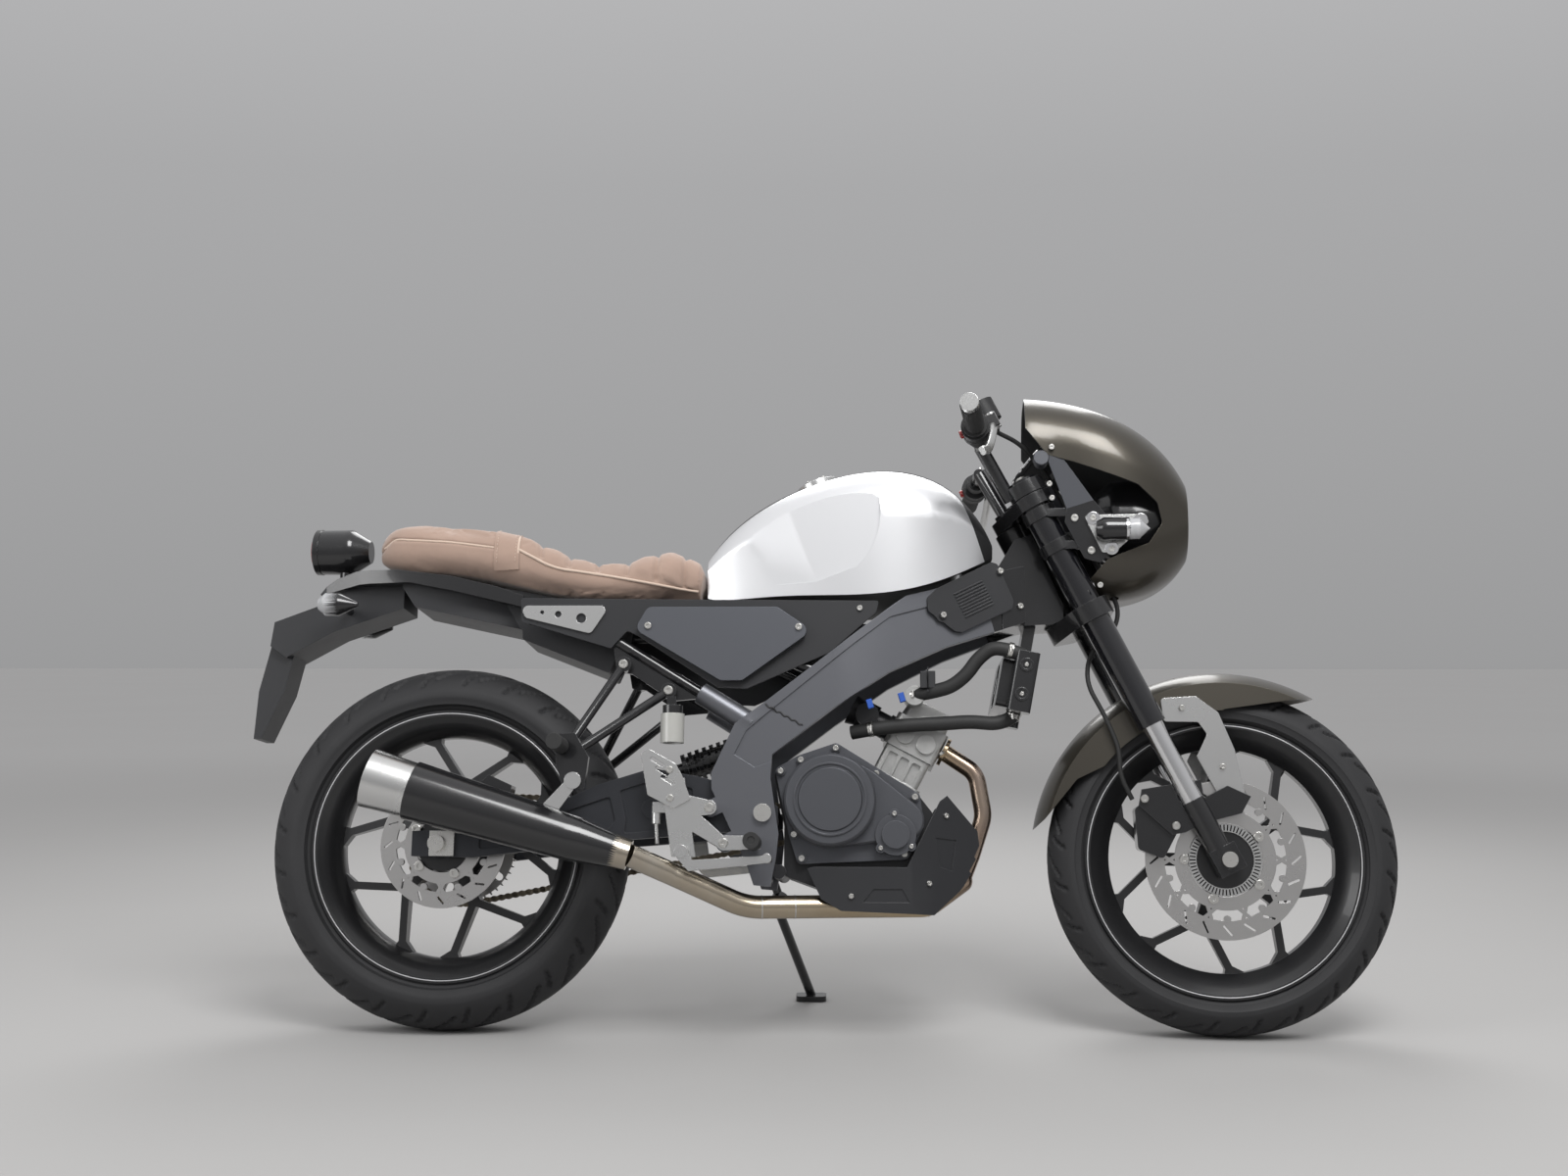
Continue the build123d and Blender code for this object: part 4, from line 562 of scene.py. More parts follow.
def surface_group():
    """Uneven colour and gloss, and a fine grain for the bump."""
    group, given, result = new_tree(
        "uneven_surface", "ShaderNodeTree",
        [("Color", "Color", (0.5, 0.5, 0.5, 1)), ("Shade", "Color", (0.3, 0.3, 0.3, 1)),
         ("Spread", "Float", 0.3), ("Cloud Scale", "Float", 14.0), ("Grain Scale", "Float", 900.0),
         ("Roughness", "Float", 0.4), ("Gloss Spread", "Float", 0.15)],
        [("Color", "Color"), ("Roughness", "Float"), ("Height", "Float")],
    )
    clouds = noise(group, Detail=5.0, Roughness=0.6)
    grain = noise(group, Detail=3.0, Roughness=0.65)
    group.links.new(given.outputs["Cloud Scale"], clouds.inputs["Scale"])
    group.links.new(given.outputs["Grain Scale"], grain.inputs["Scale"])
    share = add_node(group, "Math", [(0, clouds.outputs["Fac"]), (1, given.outputs["Spread"])],
                     operation="MULTIPLY")
    lift = add_node(group, "Math", [(0, clouds.outputs["Fac"])], operation="SUBTRACT", in_1=0.5)
    gloss = add_node(
        group, "Math",
        [(0, lift.outputs[0]), (1, given.outputs["Gloss Spread"]), (2, given.outputs["Roughness"])],
        operation="MULTIPLY_ADD", use_clamp=True,
    )
    shaded = blend(group, share.outputs[0], given.outputs["Color"], given.outputs["Shade"])
    group.links.new(shaded, result.inputs["Color"])
    group.links.new(gloss.outputs[0], result.inputs["Roughness"])
    group.links.new(grain.outputs["Fac"], result.inputs["Height"])
    return group


def edge_group():
    """Rounded edges, and a lighter line along them that stands for rubbed edges and a painted highlight."""
    group, given, result = new_tree(
        "rounded_edges", "ShaderNodeTree",
        [("Color", "Color", (0.5, 0.5, 0.5, 1)), ("Edge Color", "Color", (0.8, 0.8, 0.8, 1)),
         ("Edge Wear And Highlight", "Float", 0.3), ("Radius", "Float", 0.0015)],
        [("Color", "Color"), ("Normal", "Vector")],
    )
    rounded = add_node(group, "Bevel", [("Radius", given.outputs["Radius"])], samples=4)
    flat = add_node(group, "NewGeometry")
    turn = add_node(group, "VectorMath", [(0, rounded.outputs[0]), (1, flat.outputs["Normal"])],
                    operation="DOT_PRODUCT")
    edge = add_node(group, "MapRange", [("Value", turn.outputs["Value"])], From_Min=0.97, From_Max=0.80)
    # Lighter colour along the edges: rubbed edges and a painted highlight
    worn_and_highlit = add_node(group, "Math", [(0, edge.outputs[0]), (1, given.outputs["Edge Wear And Highlight"])], operation="MULTIPLY")
    shaded = blend(group, worn_and_highlit.outputs[0], given.outputs["Color"], given.outputs["Edge Color"])
    group.links.new(shaded, result.inputs["Color"])
    group.links.new(rounded.outputs[0], result.inputs["Normal"])
    return group


UNEVEN = surface_group()
EDGES = edge_group()


def colour(tone):
    """Colour with full opacity from a grey share or from red, green and blue."""
    return (tone, tone, tone, 1) if isinstance(tone, float) else (*tone[:3], 1)


def darker(tone, share):
    """Tone with each part cut to a share."""
    return tuple(part * share for part in tone[:3])


def new_material(name):
    """Material with its node tree and main shader."""
    material = bpy.data.materials.new(name)
    material.use_nodes = True
    return material, material.node_tree, material.node_tree.nodes["Principled BSDF"]


def finish(name, base, shade, roughness, metallic=0.0, spread=0.35, cloud=14.0, grain=900.0,
           depth=0.0, gloss_spread=0.12, wear=0.0, edge=None, radius=0.0012, coat=0.0, coat_rough=0.05,
           sheen=0.0, specular=0.5):
    """Painted, cast, moulded or rubber surface with uneven tone, fine grain and rounded edges."""
    material, tree, shader = new_material(name)
    set_inputs(shader, {
        "Metallic": metallic, "Coat Weight": coat, "Coat Roughness": coat_rough, "Sheen Weight": sheen,
        "Specular IOR Level": specular,
    })
    uneven = add_node(tree, "Group", node_tree=UNEVEN)
    set_inputs(uneven, {
        "Color": colour(base), "Shade": colour(shade), "Spread": spread, "Cloud Scale": cloud,
        "Grain Scale": grain, "Roughness": roughness, "Gloss Spread": gloss_spread,
    })
    edges = add_node(tree, "Group", node_tree=EDGES)
    # Lighter edges: rubbed edges and a painted highlight
    set_inputs(edges, {"Edge Color": colour(edge or base), "Edge Wear And Highlight": wear, "Radius": radius})
    tree.links.new(uneven.outputs["Color"], edges.inputs["Color"])
    tree.links.new(edges.outputs["Color"], shader.inputs["Base Color"])
    tree.links.new(uneven.outputs["Roughness"], shader.inputs["Roughness"])
    bump = add_node(
        tree, "Bump", [("Height", uneven.outputs["Height"]), ("Normal", edges.outputs["Normal"])],
        Strength=1.0, Distance=depth)
    tree.links.new(bump.outputs[0], shader.inputs["Normal"])
    return material


def dark_with_worn_highlit_edges(name, tone, roughness, **more):
    """Black or dark grey finish whose lighter edges stand for rubbed edges and a painted highlight."""
    settings = {"wear": 0.25, "edge": (0.25, 0.25, 0.26), "depth": 0.00004} | more
    return finish(name, tone, darker(tone, 0.55), roughness, **settings)


def lens(name, tone, pattern, transmission):
    """Moulded lamp lens with fine ribs under a glossy face."""
    material, tree, shader = new_material(name)
    set_inputs(shader, {"Roughness": 0.08, "Transmission Weight": transmission, "Coat Weight": 0.6})
    ribs = add_node(tree, "TexWave", [("Vector", object_point(tree))], Scale=pattern, Distortion=0.4)
    ramp = add_node(tree, "ValToRGB", [("Fac", ribs.outputs["Fac"])])
    ramp.color_ramp.elements[0].color = colour(darker(tone, 0.6))
    ramp.color_ramp.elements[1].color = colour(tone)
    tree.links.new(ramp.outputs["Color"], shader.inputs["Base Color"])
    bump = add_node(tree, "Bump", [("Height", ribs.outputs["Fac"])], Strength=0.5, Distance=0.0006)
    tree.links.new(bump.outputs[0], shader.inputs["Normal"])
    return material


def heated_pipe(name):
    """Stainless pipe that has turned straw, brown and blue near the engine."""
    material = finish(name, (0.50, 0.45, 0.37), (0.34, 0.27, 0.18), 0.24, metallic=1.0, spread=0.9,
                      grain=1600.0, depth=0.00002)
    tree = material.node_tree
    uneven = next(node for node in tree.nodes if node.type == "GROUP" and node.node_tree == UNEVEN)
    parts = add_node(tree, "SeparateXYZ", [("Vector", object_point(tree))])
    drift = noise(tree, Scale=7.0)
    shift = add_node(tree, "Math", [(0, drift.outputs["Fac"]), (2, parts.outputs["X"])],
                     operation="MULTIPLY_ADD", in_1=0.08)
    spread = add_node(tree, "MapRange", [("Value", shift.outputs[0])], From_Min=-0.3, From_Max=0.36)
    ramp = add_node(tree, "ValToRGB", [("Fac", spread.outputs[0])])
    ends = ramp.color_ramp.elements
    ends[0].color = colour((0.56, 0.54, 0.50))
    ends[1].color = colour((0.36, 0.33, 0.36))
    for spot, tone in [(0.55, (0.56, 0.48, 0.36)), (0.8, (0.50, 0.38, 0.22)), (0.92, (0.38, 0.28, 0.24))]:
        ends.new(spot).color = colour(tone)
    tree.links.new(ramp.outputs["Color"], uneven.inputs["Color"])
    return material


def paints(tones):
    """Painted finishes, by name."""
    return {
        "frame_paint": finish(
            "satin_frame_paint", tones.frame_paint, darker(tones.frame_paint, 0.6), 0.4, metallic=0.8,
            grain=1500.0, depth=0.00003, wear=0.3, edge=(0.25, 0.26, 0.28), gloss_spread=0.1),
        "black_paint": dark_with_worn_highlit_edges("gloss_black_paint", (0.012, 0.012, 0.013), 0.2, coat=0.4, wear=0.35),
        "fork_black": dark_with_worn_highlit_edges("gloss_black_fork_tube", (0.007, 0.007, 0.009), 0.1, coat=0.7, wear=0.1),
        "band_black": finish("gloss_black_band", (0.008, 0.008, 0.009), (0.006, 0.006, 0.007), 0.16,
                             coat=0.6, cloud=6.0),
        "wheel_paint": dark_with_worn_highlit_edges("black_wheel_paint", (0.014, 0.014, 0.015), 0.3, coat=0.25),
        "arm_paint": dark_with_worn_highlit_edges("satin_swingarm_paint", (0.040, 0.042, 0.048), 0.4, metallic=0.5,
                                grain=1600.0, depth=0.0001),
        "silver_paint": finish(
            "silver_tank_paint", tones.tank, darker(tones.tank, 0.86), 0.36, metallic=0.8, cloud=4.0,
            grain=3500.0, depth=0.00001, coat=0.35, coat_rough=0.1, gloss_spread=0.05, spread=0.25),
        "bronze_paint": finish(
            "bronze_graphite_paint", tones.cowl, darker(tones.cowl, 0.62), 0.36, metallic=0.75, cloud=5.0,
            grain=3800.0, depth=0.00002, coat=0.5, coat_rough=0.14),
        "panel_paint": finish(
            "dark_side_cover_paint", tones.panels, darker(tones.panels, 0.66), 0.38, metallic=0.6, cloud=5.0,
            grain=3000.0, depth=0.00002, coat=0.25, coat_rough=0.18),
        "rim_line": finish("rim_line_paint", tones.rim_line, tones.rim_line, 0.4, metallic=0.3),
        # Near black for holes, slots and bores: painted shade where the real openings look dark
        "hole_black": finish("unlit_hole", 0.003, 0.002, 0.9),
        "dial_face": finish("dial_face", (0.012, 0.013, 0.015), (0.008, 0.008, 0.009), 0.5, coat=0.9,
                            coat_rough=0.03),
        "dial_mark": finish("dial_marks", (0.75, 0.76, 0.78), (0.65, 0.66, 0.68), 0.5),
    }


def metals():
    """Bare and blackened metal finishes, by name."""
    return {
        "cast_black": dark_with_worn_highlit_edges("black_cast_covers", (0.022, 0.022, 0.024), 0.38, metallic=0.35,
                                 grain=1600.0, depth=0.0001, wear=0.4),
        "cover_grey": dark_with_worn_highlit_edges("satin_engine_cover", (0.098, 0.101, 0.112), 0.42, metallic=0.7,
                                 grain=1600.0, depth=0.0001),
        "stay_grey": dark_with_worn_highlit_edges("slate_grey_stay", (0.055, 0.058, 0.068), 0.45, metallic=0.3),
        "cast_alloy": finish(
            "raw_cast_alloy", (0.58, 0.58, 0.57), (0.24, 0.24, 0.23), 0.36, metallic=0.95, cloud=55.0,
            grain=1100.0, depth=0.00022, wear=0.4, edge=(0.85, 0.85, 0.84), spread=0.7),
        "bright_alloy": finish(
            "satin_bright_alloy", (0.70, 0.70, 0.69), 0.46, 0.27, metallic=1.0, cloud=6.0, spread=0.3,
            gloss_spread=0.05, grain=1800.0, depth=0.00003),
        "chrome": finish("polished_metal", (0.78, 0.78, 0.79), 0.6, 0.1, metallic=1.0, cloud=20.0),
        "steel": finish("zinc_bolts", (0.72, 0.71, 0.68), (0.42, 0.41, 0.39), 0.28, metallic=1.0, cloud=60.0,
                        grain=1500.0, depth=0.00004, radius=0.0005),
        "disc_steel": finish(
            "ground_disc_steel", (0.60, 0.59, 0.58), (0.40, 0.39, 0.38), 0.28, metallic=1.0, cloud=9.0,
            gloss_spread=0.05, grain=1200.0, depth=0.00003, radius=0.0006),
        "chain_steel": finish(
            "oiled_chain_steel", (0.30, 0.26, 0.20), (0.10, 0.09, 0.07), 0.42, metallic=0.9, cloud=80.0,
            depth=0.00004, radius=0.0003),
        "pipe_steel": heated_pipe("heated_stainless"),
    }


def soft_finishes(tones):
    """Plastic, rubber, suede, thread and lens finishes, by name."""
    return {
        "plastic": dark_with_worn_highlit_edges("matt_black_plastic", (0.010, 0.010, 0.011), 0.55, grain=2200.0,
                              depth=0.00006),
        "soft_plastic": dark_with_worn_highlit_edges("dark_grey_plastic", (0.016, 0.0165, 0.019), 0.46, grain=2000.0,
                                   depth=0.00005),
        "rubber": dark_with_worn_highlit_edges("black_rubber", (0.016, 0.016, 0.016), 0.66, wear=0.12, grain=700.0),
        "tyre_rubber": dark_with_worn_highlit_edges("tyre_rubber", (0.019, 0.019, 0.0205), 0.7, wear=0.15, edge=0.04,
                                  depth=0.00008, cloud=18.0, radius=0.0006),
        "suede": finish("tan_suede", tones.seat, darker(tones.seat, 0.72), 0.9, cloud=22.0, spread=0.8,
                        grain=1500.0, depth=0.00022, gloss_spread=0.05, radius=0.0006, sheen=0.35,
                        specular=0.2),
        "thread": finish("pale_thread", tones.thread, darker(tones.thread, 0.8), 0.75, cloud=90.0,
                         grain=2600.0, depth=0.0001, radius=0.0003, sheen=0.3),
        "bottle": finish("clear_brake_fluid_bottle", (0.42, 0.42, 0.40), (0.33, 0.32, 0.28), 0.3, cloud=40.0,
                         coat=0.4),
        "blue_plug": finish("blue_connector", (0.02, 0.09, 0.42), (0.01, 0.05, 0.26), 0.4),
        "clear_lens": lens("clear_lens", (0.82, 0.83, 0.85), 160.0, 0.35),
        "red_lens": lens("red_lens", (0.45, 0.012, 0.010), 210.0, 0.25),
    }


# Finish of each node that keeps its own shape
NODE_FINISH = [
    (CHASSIS, "black_paint", "subframe stand_bracket peg_stays tail_cowl radiator rear_shock rear_caliper"),
    (CHASSIS, "arm_paint", "swingarm"),
    (CHASSIS, "cast_black", "crankcase throttle_body"),
    (CHASSIS, "cover_grey", "clutch_cover"),
    (CHASSIS, "cast_alloy", "cylinder cylinder_head"),
    (CHASSIS, "pipe_steel", "exhaust_pipe"),
    (CHASSIS, "bright_alloy", "muffler_strap footrest_brackets foot_levers"),
    (CHASSIS, "soft_plastic", "skid_guard inner_panels plate_holder head_covers"),
    (CHASSIS, "rubber", "coolant_hoses foot_pegs"),
    (CHASSIS, "steel", "axle_and_pivot"),
    (FRONT_END, "black_paint", "fork_yokes front_caliper fork_feet"),
    (FRONT_END, "fork_black", "fork_tubes"),
    (FRONT_END, "chrome", "fork_sliders"),
    (FRONT_END, "rubber", "front_brake_hose"),
    (FRONT_END, "plastic", "controls instrument"),
    (FRONT_END, "bright_alloy", "levers mudguard_brackets"),
    (FRONT_END, "bronze_paint", "front_mudguard"),
    (FRONT_END, "steel", "front_axle"),
    (FRONT_WHEEL, "wheel_paint", "front_wheel"),
    (FRONT_WHEEL, "disc_steel", "front_disc"),
    (REAR_WHEEL, "wheel_paint", "rear_wheel"),
    (REAR_WHEEL, "disc_steel", "rear_disc rear_sprocket"),
    (("side_stand", BIKE), "black_paint", "side_stand"),
]

# Lights as (name, place, point that it lights, width of the lamp, power), in metres and watts
LIGHTS = [
    ("key", (0.9, -2.4, 3.6), (0.1, 0, 0.5), 1.8, 125),
    ("fill", (-3.0, -2.2, 1.8), (0, 0, 0.5), 1.6, 34),
    ("rim", (0.2, 2.4, 3.0), (0, 0, 0.6), 2.2, 60),
]
# Camera: place from the point under the rear hub, in metres, lens in millimetres, turns in degrees
CAMERA_PLACE = (0.700, -3.000, 0.668)
CAMERA_LENS = 40.16
CAMERA_PITCH, CAMERA_TURN = 91.76, 2.25


class MOTORCYCLE_OT_stage(bpy.types.Operator):
    """Set the pale floor, the soft light and the camera"""

    bl_idname = "motorcycle.stage"
    bl_label = "Stage"

    def execute(self, context):
        scene = context.scene
        scene.view_settings.view_transform = "Standard"
        bm = bmesh.new()
        bmesh.ops.create_grid(bm, x_segments=1, y_segments=1, size=40)
        floor = written("floor", bm)
        pale = finish("pale_floor", (0.38, 0.375, 0.37), (0.34, 0.335, 0.33), 0.85, cloud=0.6, grain=60.0,
                      specular=0.1)
        floor.data.materials.append(pale)
        tree = pale.node_tree
        # Painted light: the floor glows brighter further out, up to a fixed level, to meet the backdrop
        reach = add_node(tree, "VectorMath", [(0, object_point(tree))], operation="LENGTH")
        far = add_node(tree, "MapRange", [("Value", reach.outputs["Value"])],
                       interpolation_type="SMOOTHSTEP", From_Min=2.2, From_Max=9.0)
        painted_far_glow = add_node(tree, "Mix", [("Factor", far.outputs[0])], data_type="RGBA", in_6=colour(0.0),
                        in_7=colour((0.09, 0.09, 0.091)))
        shader = tree.nodes["Principled BSDF"]
        tree.links.new(painted_far_glow.outputs[2], shader.inputs["Emission Color"])
        shader.inputs["Emission Strength"].default_value = 1
        scene.world = bpy.data.worlds.new("studio")
        scene.world.use_nodes = True
        sky = scene.world.node_tree
        place = add_node(sky, "TexCoord")
        parts = add_node(sky, "SeparateXYZ", [("Vector", place.outputs["Generated"])])
        rise = add_node(sky, "MapRange", [("Value", parts.outputs["Z"])], From_Min=-0.25, From_Max=0.95)
        ramp = add_node(sky, "ValToRGB", [("Fac", rise.outputs[0])])
        levels = ramp.color_ramp.elements
        levels[0].color = colour((0.12, 0.12, 0.123))
        levels[1].color = colour((0.85, 0.85, 0.86))
        levels.new(0.2).color = colour((0.33, 0.33, 0.334))
        levels.new(0.42).color = colour((0.40, 0.40, 0.406))
        sky.links.new(ramp.outputs["Color"], sky.nodes["Background"].inputs["Color"])
        for name, spot, aim, width, power in LIGHTS:
            lamp = bpy.data.lights.new(name, "AREA")
            lamp.size = width
            lamp.energy = power
            light = linked(name, lamp)
            light.location = spot
            light.rotation_euler = (Vector(aim) - Vector(spot)).to_track_quat("-Z", "Y").to_euler()
        view = bpy.data.cameras.new("camera")
        view.lens = CAMERA_LENS
        camera = linked("camera", view)
        origin = BIKE.translation
        camera.location = (origin.x + CAMERA_PLACE[0], origin.y + CAMERA_PLACE[1], CAMERA_PLACE[2])
        camera.rotation_euler = (radians(CAMERA_PITCH), 0, radians(CAMERA_TURN))
        scene.camera = camera
        return {"FINISHED"}


class MOTORCYCLE_OT_castings(bpy.types.Operator):
    """Give each solid that keeps its shape a smooth skin in its own finish"""

    bl_idname = "motorcycle.castings"
    bl_label = "Frame, engine and fittings"

    def execute(self, context):
        for where, material, nodes in NODE_FINISH:
            for node in nodes.split():
                painted(node, where, material, sharp=30)
        return {"FINISHED"}


TANK_CAP = Vector((640, 0, 950))
TANK_CAP_AXIS = Vector((-sin(radians(20)), 0, cos(radians(20))))
TANK_STRIP = [(446, 20), (560, 30), (820, 30), (944, 16)]
TANK_TRIM_PLANE = ((903, 0, 880), (0.9, 0, 0.32))


class MOTORCYCLE_OT_tank(bpy.types.Operator):
    """Paint the tank silver, with its dark middle strip, front trim and metal cap"""

    bl_idname = "motorcycle.tank"
    bl_label = "Fuel tank"

    def execute(self, context):
        def on_cap(middle, normal):
            offset = middle - TANK_CAP
            height = offset.dot(TANK_CAP_AXIS)
            return height > 8.5 and (offset - TANK_CAP_AXIS * height).length < 37

        def on_strip(middle, normal):
            half = along(TANK_STRIP, middle.x)
            return abs(middle.y) < half + 0.05 and normal.z > -0.2 and middle.z > 820 and middle.x < 940

        def on_foot(middle, normal):
            return normal.z < -0.7

        rules = [(2, on_cap), (1, on_strip), (1, beyond(*TANK_TRIM_PLANE)), (1, on_foot)]
        painted("fuel_tank", CHASSIS, "silver_paint plastic bright_alloy", rules, [TANK_TRIM_PLANE],
                name="fuel_tank_shell", sharp=28)
        cap = facing(TANK_CAP, TANK_CAP_AXIS)
        latch = facing(TANK_CAP + TANK_CAP_AXIS * 17.6, TANK_CAP_AXIS, across=AHEAD)
        key_plate = [(6.5, 0), (6.5, 1.6), (5.6, 2.2), (2.2, 2.2), (2.2, 1.2), (0, 1.2)]
        drawn("tank_cap_trim", CHASSIS, "chrome",
              (add_ring, cap, 30.5, 35.5, 14.6, 15.6),
              (add_ring, cap, 22, 23.2, 17.6, 18.5),
              (add_slab, latch, [(-26, -7), (-8, -9), (-8, 9), (-26, 7)], 2.2),
              (add_turned, latch @ Matrix.Translation((-2, 0, 0)), key_plate))
        rows = [((x, y, 17.8), UP, 2.6) for x, y in circle(6, 28.8)]
        fasteners("tank_cap_screws", ("chassis", BIKE @ cap), rows, sides=16, height=0.5)
        return {"FINISHED"}


SEAT_TOP = [(-142, 846), (-112, 870), (0, 862), (100, 848), (190, 814), (320, 803), (440, 816)]
PIPING_LINE = [(117, 821), (182, 787), (300, 770), (430, 752)]
SEAT_CHANNELS = range(157, 408, 50)
CHANNELS_FROM, CHANNELS_TO = 118, 432
REAR_SEAM_BELOW_TOP = 26
VOXEL = 0.0055
SKIN_ALLOWANCE = 0.002
CLOTH_STEPS, CLOTH_PRESSURE, CLOTH_REACH = 20, 4, 0.007
STRAP_PROFILE = [(74, -1.0), (74, 2.2), (77, 2.9), (97, 3.1), (116, 2.9), (119, 2.2), (119, -1.0)]
STRAP_SEAMS = (80, 113)


def puffed(bm):
    """Swell a closed shape as cloth, with no point moved further than the cloth's reach."""
    start = [vertex.co.copy() for vertex in bm.verts]
    pad = written("seat_cloth", bm)
    cloth = pad.modifiers.new("cloth", "CLOTH")
    cloth.settings.use_pressure = True
    cloth.settings.uniform_pressure_force = CLOTH_PRESSURE
    cloth.settings.effector_weights.gravity = 0
    cloth.settings.quality = 4
    scene = bpy.context.scene
    for step in range(CLOTH_STEPS):
        scene.frame_set(step + 1)
    bm = evaluated(pad)
    for vertex, before in zip(bm.verts, start):
        move = vertex.co - before
        if move.length > CLOTH_REACH:
            vertex.co = before + move * (CLOTH_REACH / move.length)
    bm.normal_update()
    scene.frame_set(1)
    return bm


def seat_blank():
    """Even, slightly shrunken mesh of the seat, swollen as cloth and made finer."""
    carrier = written("seat_rough", welded("seat"))
    remesh = carrier.modifiers.new("remesh", "REMESH")
    remesh.mode = "VOXEL"
    remesh.voxel_size = VOXEL
    smoothing = carrier.modifiers.new("smoothing", "SMOOTH")
    smoothing.factor = 0.5
    smoothing.iterations = 4
    bm = evaluated(carrier)
    for vertex in bm.verts:
        vertex.co -= vertex.normal * SKIN_ALLOWANCE
    bm = puffed(bm)
    bmesh.ops.subdivide_edges(bm, edges=bm.edges, cuts=1, use_grid_fill=True, smooth=0.6)
    bm.normal_update()
    return bm


def channel_at(spot):
    """Share of the full channel depth at a point of the seat."""
    if spot.x < 112:
        seam = along(SEAT_TOP, spot.x) - REAR_SEAM_BELOW_TOP
        return 0.8 * exp(-(((spot.z - seam) / 2.6) ** 2))
    line = along(PIPING_LINE, spot.x)
    if not CHANNELS_FROM < spot.x < CHANNELS_TO or spot.z <= line + 2:
        return 0
    nearest = min(abs(spot.x - channel) for channel in SEAT_CHANNELS)
    groove = exp(-((nearest / 4.2) ** 2)) * smoothstep(line + 2, line + 10, spot.z)
    return groove - 0.45 * smoothstep(6, 24, nearest) * smoothstep(line + 6, line + 26, spot.z)


def over_seat(x, angle):
    """Point outside the seat's top at a turn, from the right edge to the left."""
    return (x, 170 * cos(angle), 795 + 130 * sin(angle))


class MOTORCYCLE_OT_seat(bpy.types.Operator):
    """Swell the seat as cloth, then sew its channels, piping and strap"""

    bl_idname = "motorcycle.seat"
    bl_label = "Seat"

    def execute(self, context):
        bm = seat_blank()
        depth = sizes().channel_depth
        back = BIKE.inverted()
        for vertex in bm.verts:
            spot = back @ vertex.co
            vertex.co -= vertex.normal * channel_at(spot) * depth
            drop = 20 * smoothstep(330, 430, spot.x) * smoothstep(742, 800, spot.z)
            vertex.co -= BIKE.to_3x3() @ Vector((0, 0, drop))
        skin = BVHTree.FromBMesh(bm)
        seat = finish_piece("seat_pad", bm, "chassis", "suede", "seat", sharp=60)
        turn = BIKE.to_3x3().normalized()

        def on_skin(spot, direction, lift):
            hit = skin.ray_cast(BIKE @ Vector(spot), turn @ Vector(direction), 0.4)
            return back @ hit[0] + (turn.inverted() @ hit[1]) * lift

        def towards_middle(spot, level, lift):
            return on_skin(spot, (0, -spot[1], level - spot[2]), lift)

        radius = sizes().piping_radius / MM
        cord = bmesh.new()
        for side in SIDES:
            inwards = (0, -side, 0)
            front = [(x, side * 170, along(PIPING_LINE, x)) for x in range(118, 431, 26)]
            add_hose(cord, [on_skin(spot, inwards, radius * 0.4) for spot in front], radius, 10, 6)
            rear = [(x, side * 170, along(SEAT_TOP, x) - REAR_SEAM_BELOW_TOP) for x in range(-128, 89, 24)]
            add_hose(cord, [on_skin(spot, inwards, radius * 0.3) for spot in rear], radius * 0.9, 10, 6)
        turns = [radians(16 + 148 * k / 16) for k in range(17)]
        arch = [(117, 140 * cos(angle), 790 + 120 * sin(angle)) for angle in turns]
        add_hose(cord, [towards_middle(spot, 770, radius * 0.4) for spot in arch], radius, 10, 5)
        piece("seat_piping", CHASSIS, "thread", cord)
        strap = bmesh.new()
        turns = [radians(-4 + 188 * k / 30) for k in range(31)]
        rows = [
            [strap.verts.new(towards_middle(over_seat(x, angle), 788, lift)) for angle in turns]
            for x, lift in STRAP_PROFILE
        ]
        bridge(strap, rows + rows[:1], closed=False)
        for end in (0, -1):
            strap.faces.new([row[end] for row in rows])
        piece("seat_strap", CHASSIS, "suede", strap)
        rows = []
        for x in STRAP_SEAMS:
            for k in range(46):
                spot = towards_middle(over_seat(x, radians(6 + 168 * k / 45)), 788, 3.0)
                out = Vector((0, spot.y, spot.z - 790))
                rows.append((spot, out, 1, (0, -out.z, out.y)))
        stitch = small_slab(lifted(-0.3), oblong(1.6, 0.4), 0.9, 0.25)
        repeated("seat_stitches", CHASSIS, "thread", stitch, rows)
        return {"FINISHED"}


# Tread as shares of half the tyre's width, counted from its middle line
TREAD_EDGE = 0.92
STEPS_A_PITCH = 26
CROWN_STEPS = 44
CROWN_SHARE = 0.34
# Tyres: name, frame, radius, width, half of the rim's width
TYRES = [
    ("front", FRONT_WHEEL, FRONT_RADIUS - 0.34, 112, 46),
    ("rear", REAR_WHEEL, REAR_RADIUS, 140, 58),
]


def tread_depth_at(turn, side):
    """Share of the full groove depth at a turn counted in pitches and a place from -1 to 1 across."""
    out = abs(side)
    if out > TREAD_EDGE:
        return 0
    shift = 0.5 if side > 0 else 0
    sweep = (turn + shift - 0.95 * out - 0.25 * out * out) % 1
    long_groove = 1 - smoothstep(0.05, 0.075, abs(sweep - 0.5))
    long_groove *= smoothstep(0.10, 0.16, out) * (1 - smoothstep(0.74, 0.80, out))
    sweep = (turn + shift + 0.33 - 0.62 * out) % 1
    short_groove = 1 - smoothstep(0.04, 0.06, abs(sweep - 0.5))
    short_groove *= smoothstep(0.48, 0.54, out) * (1 - smoothstep(0.86, TREAD_EDGE, out))
    return max(long_groove, short_groove)


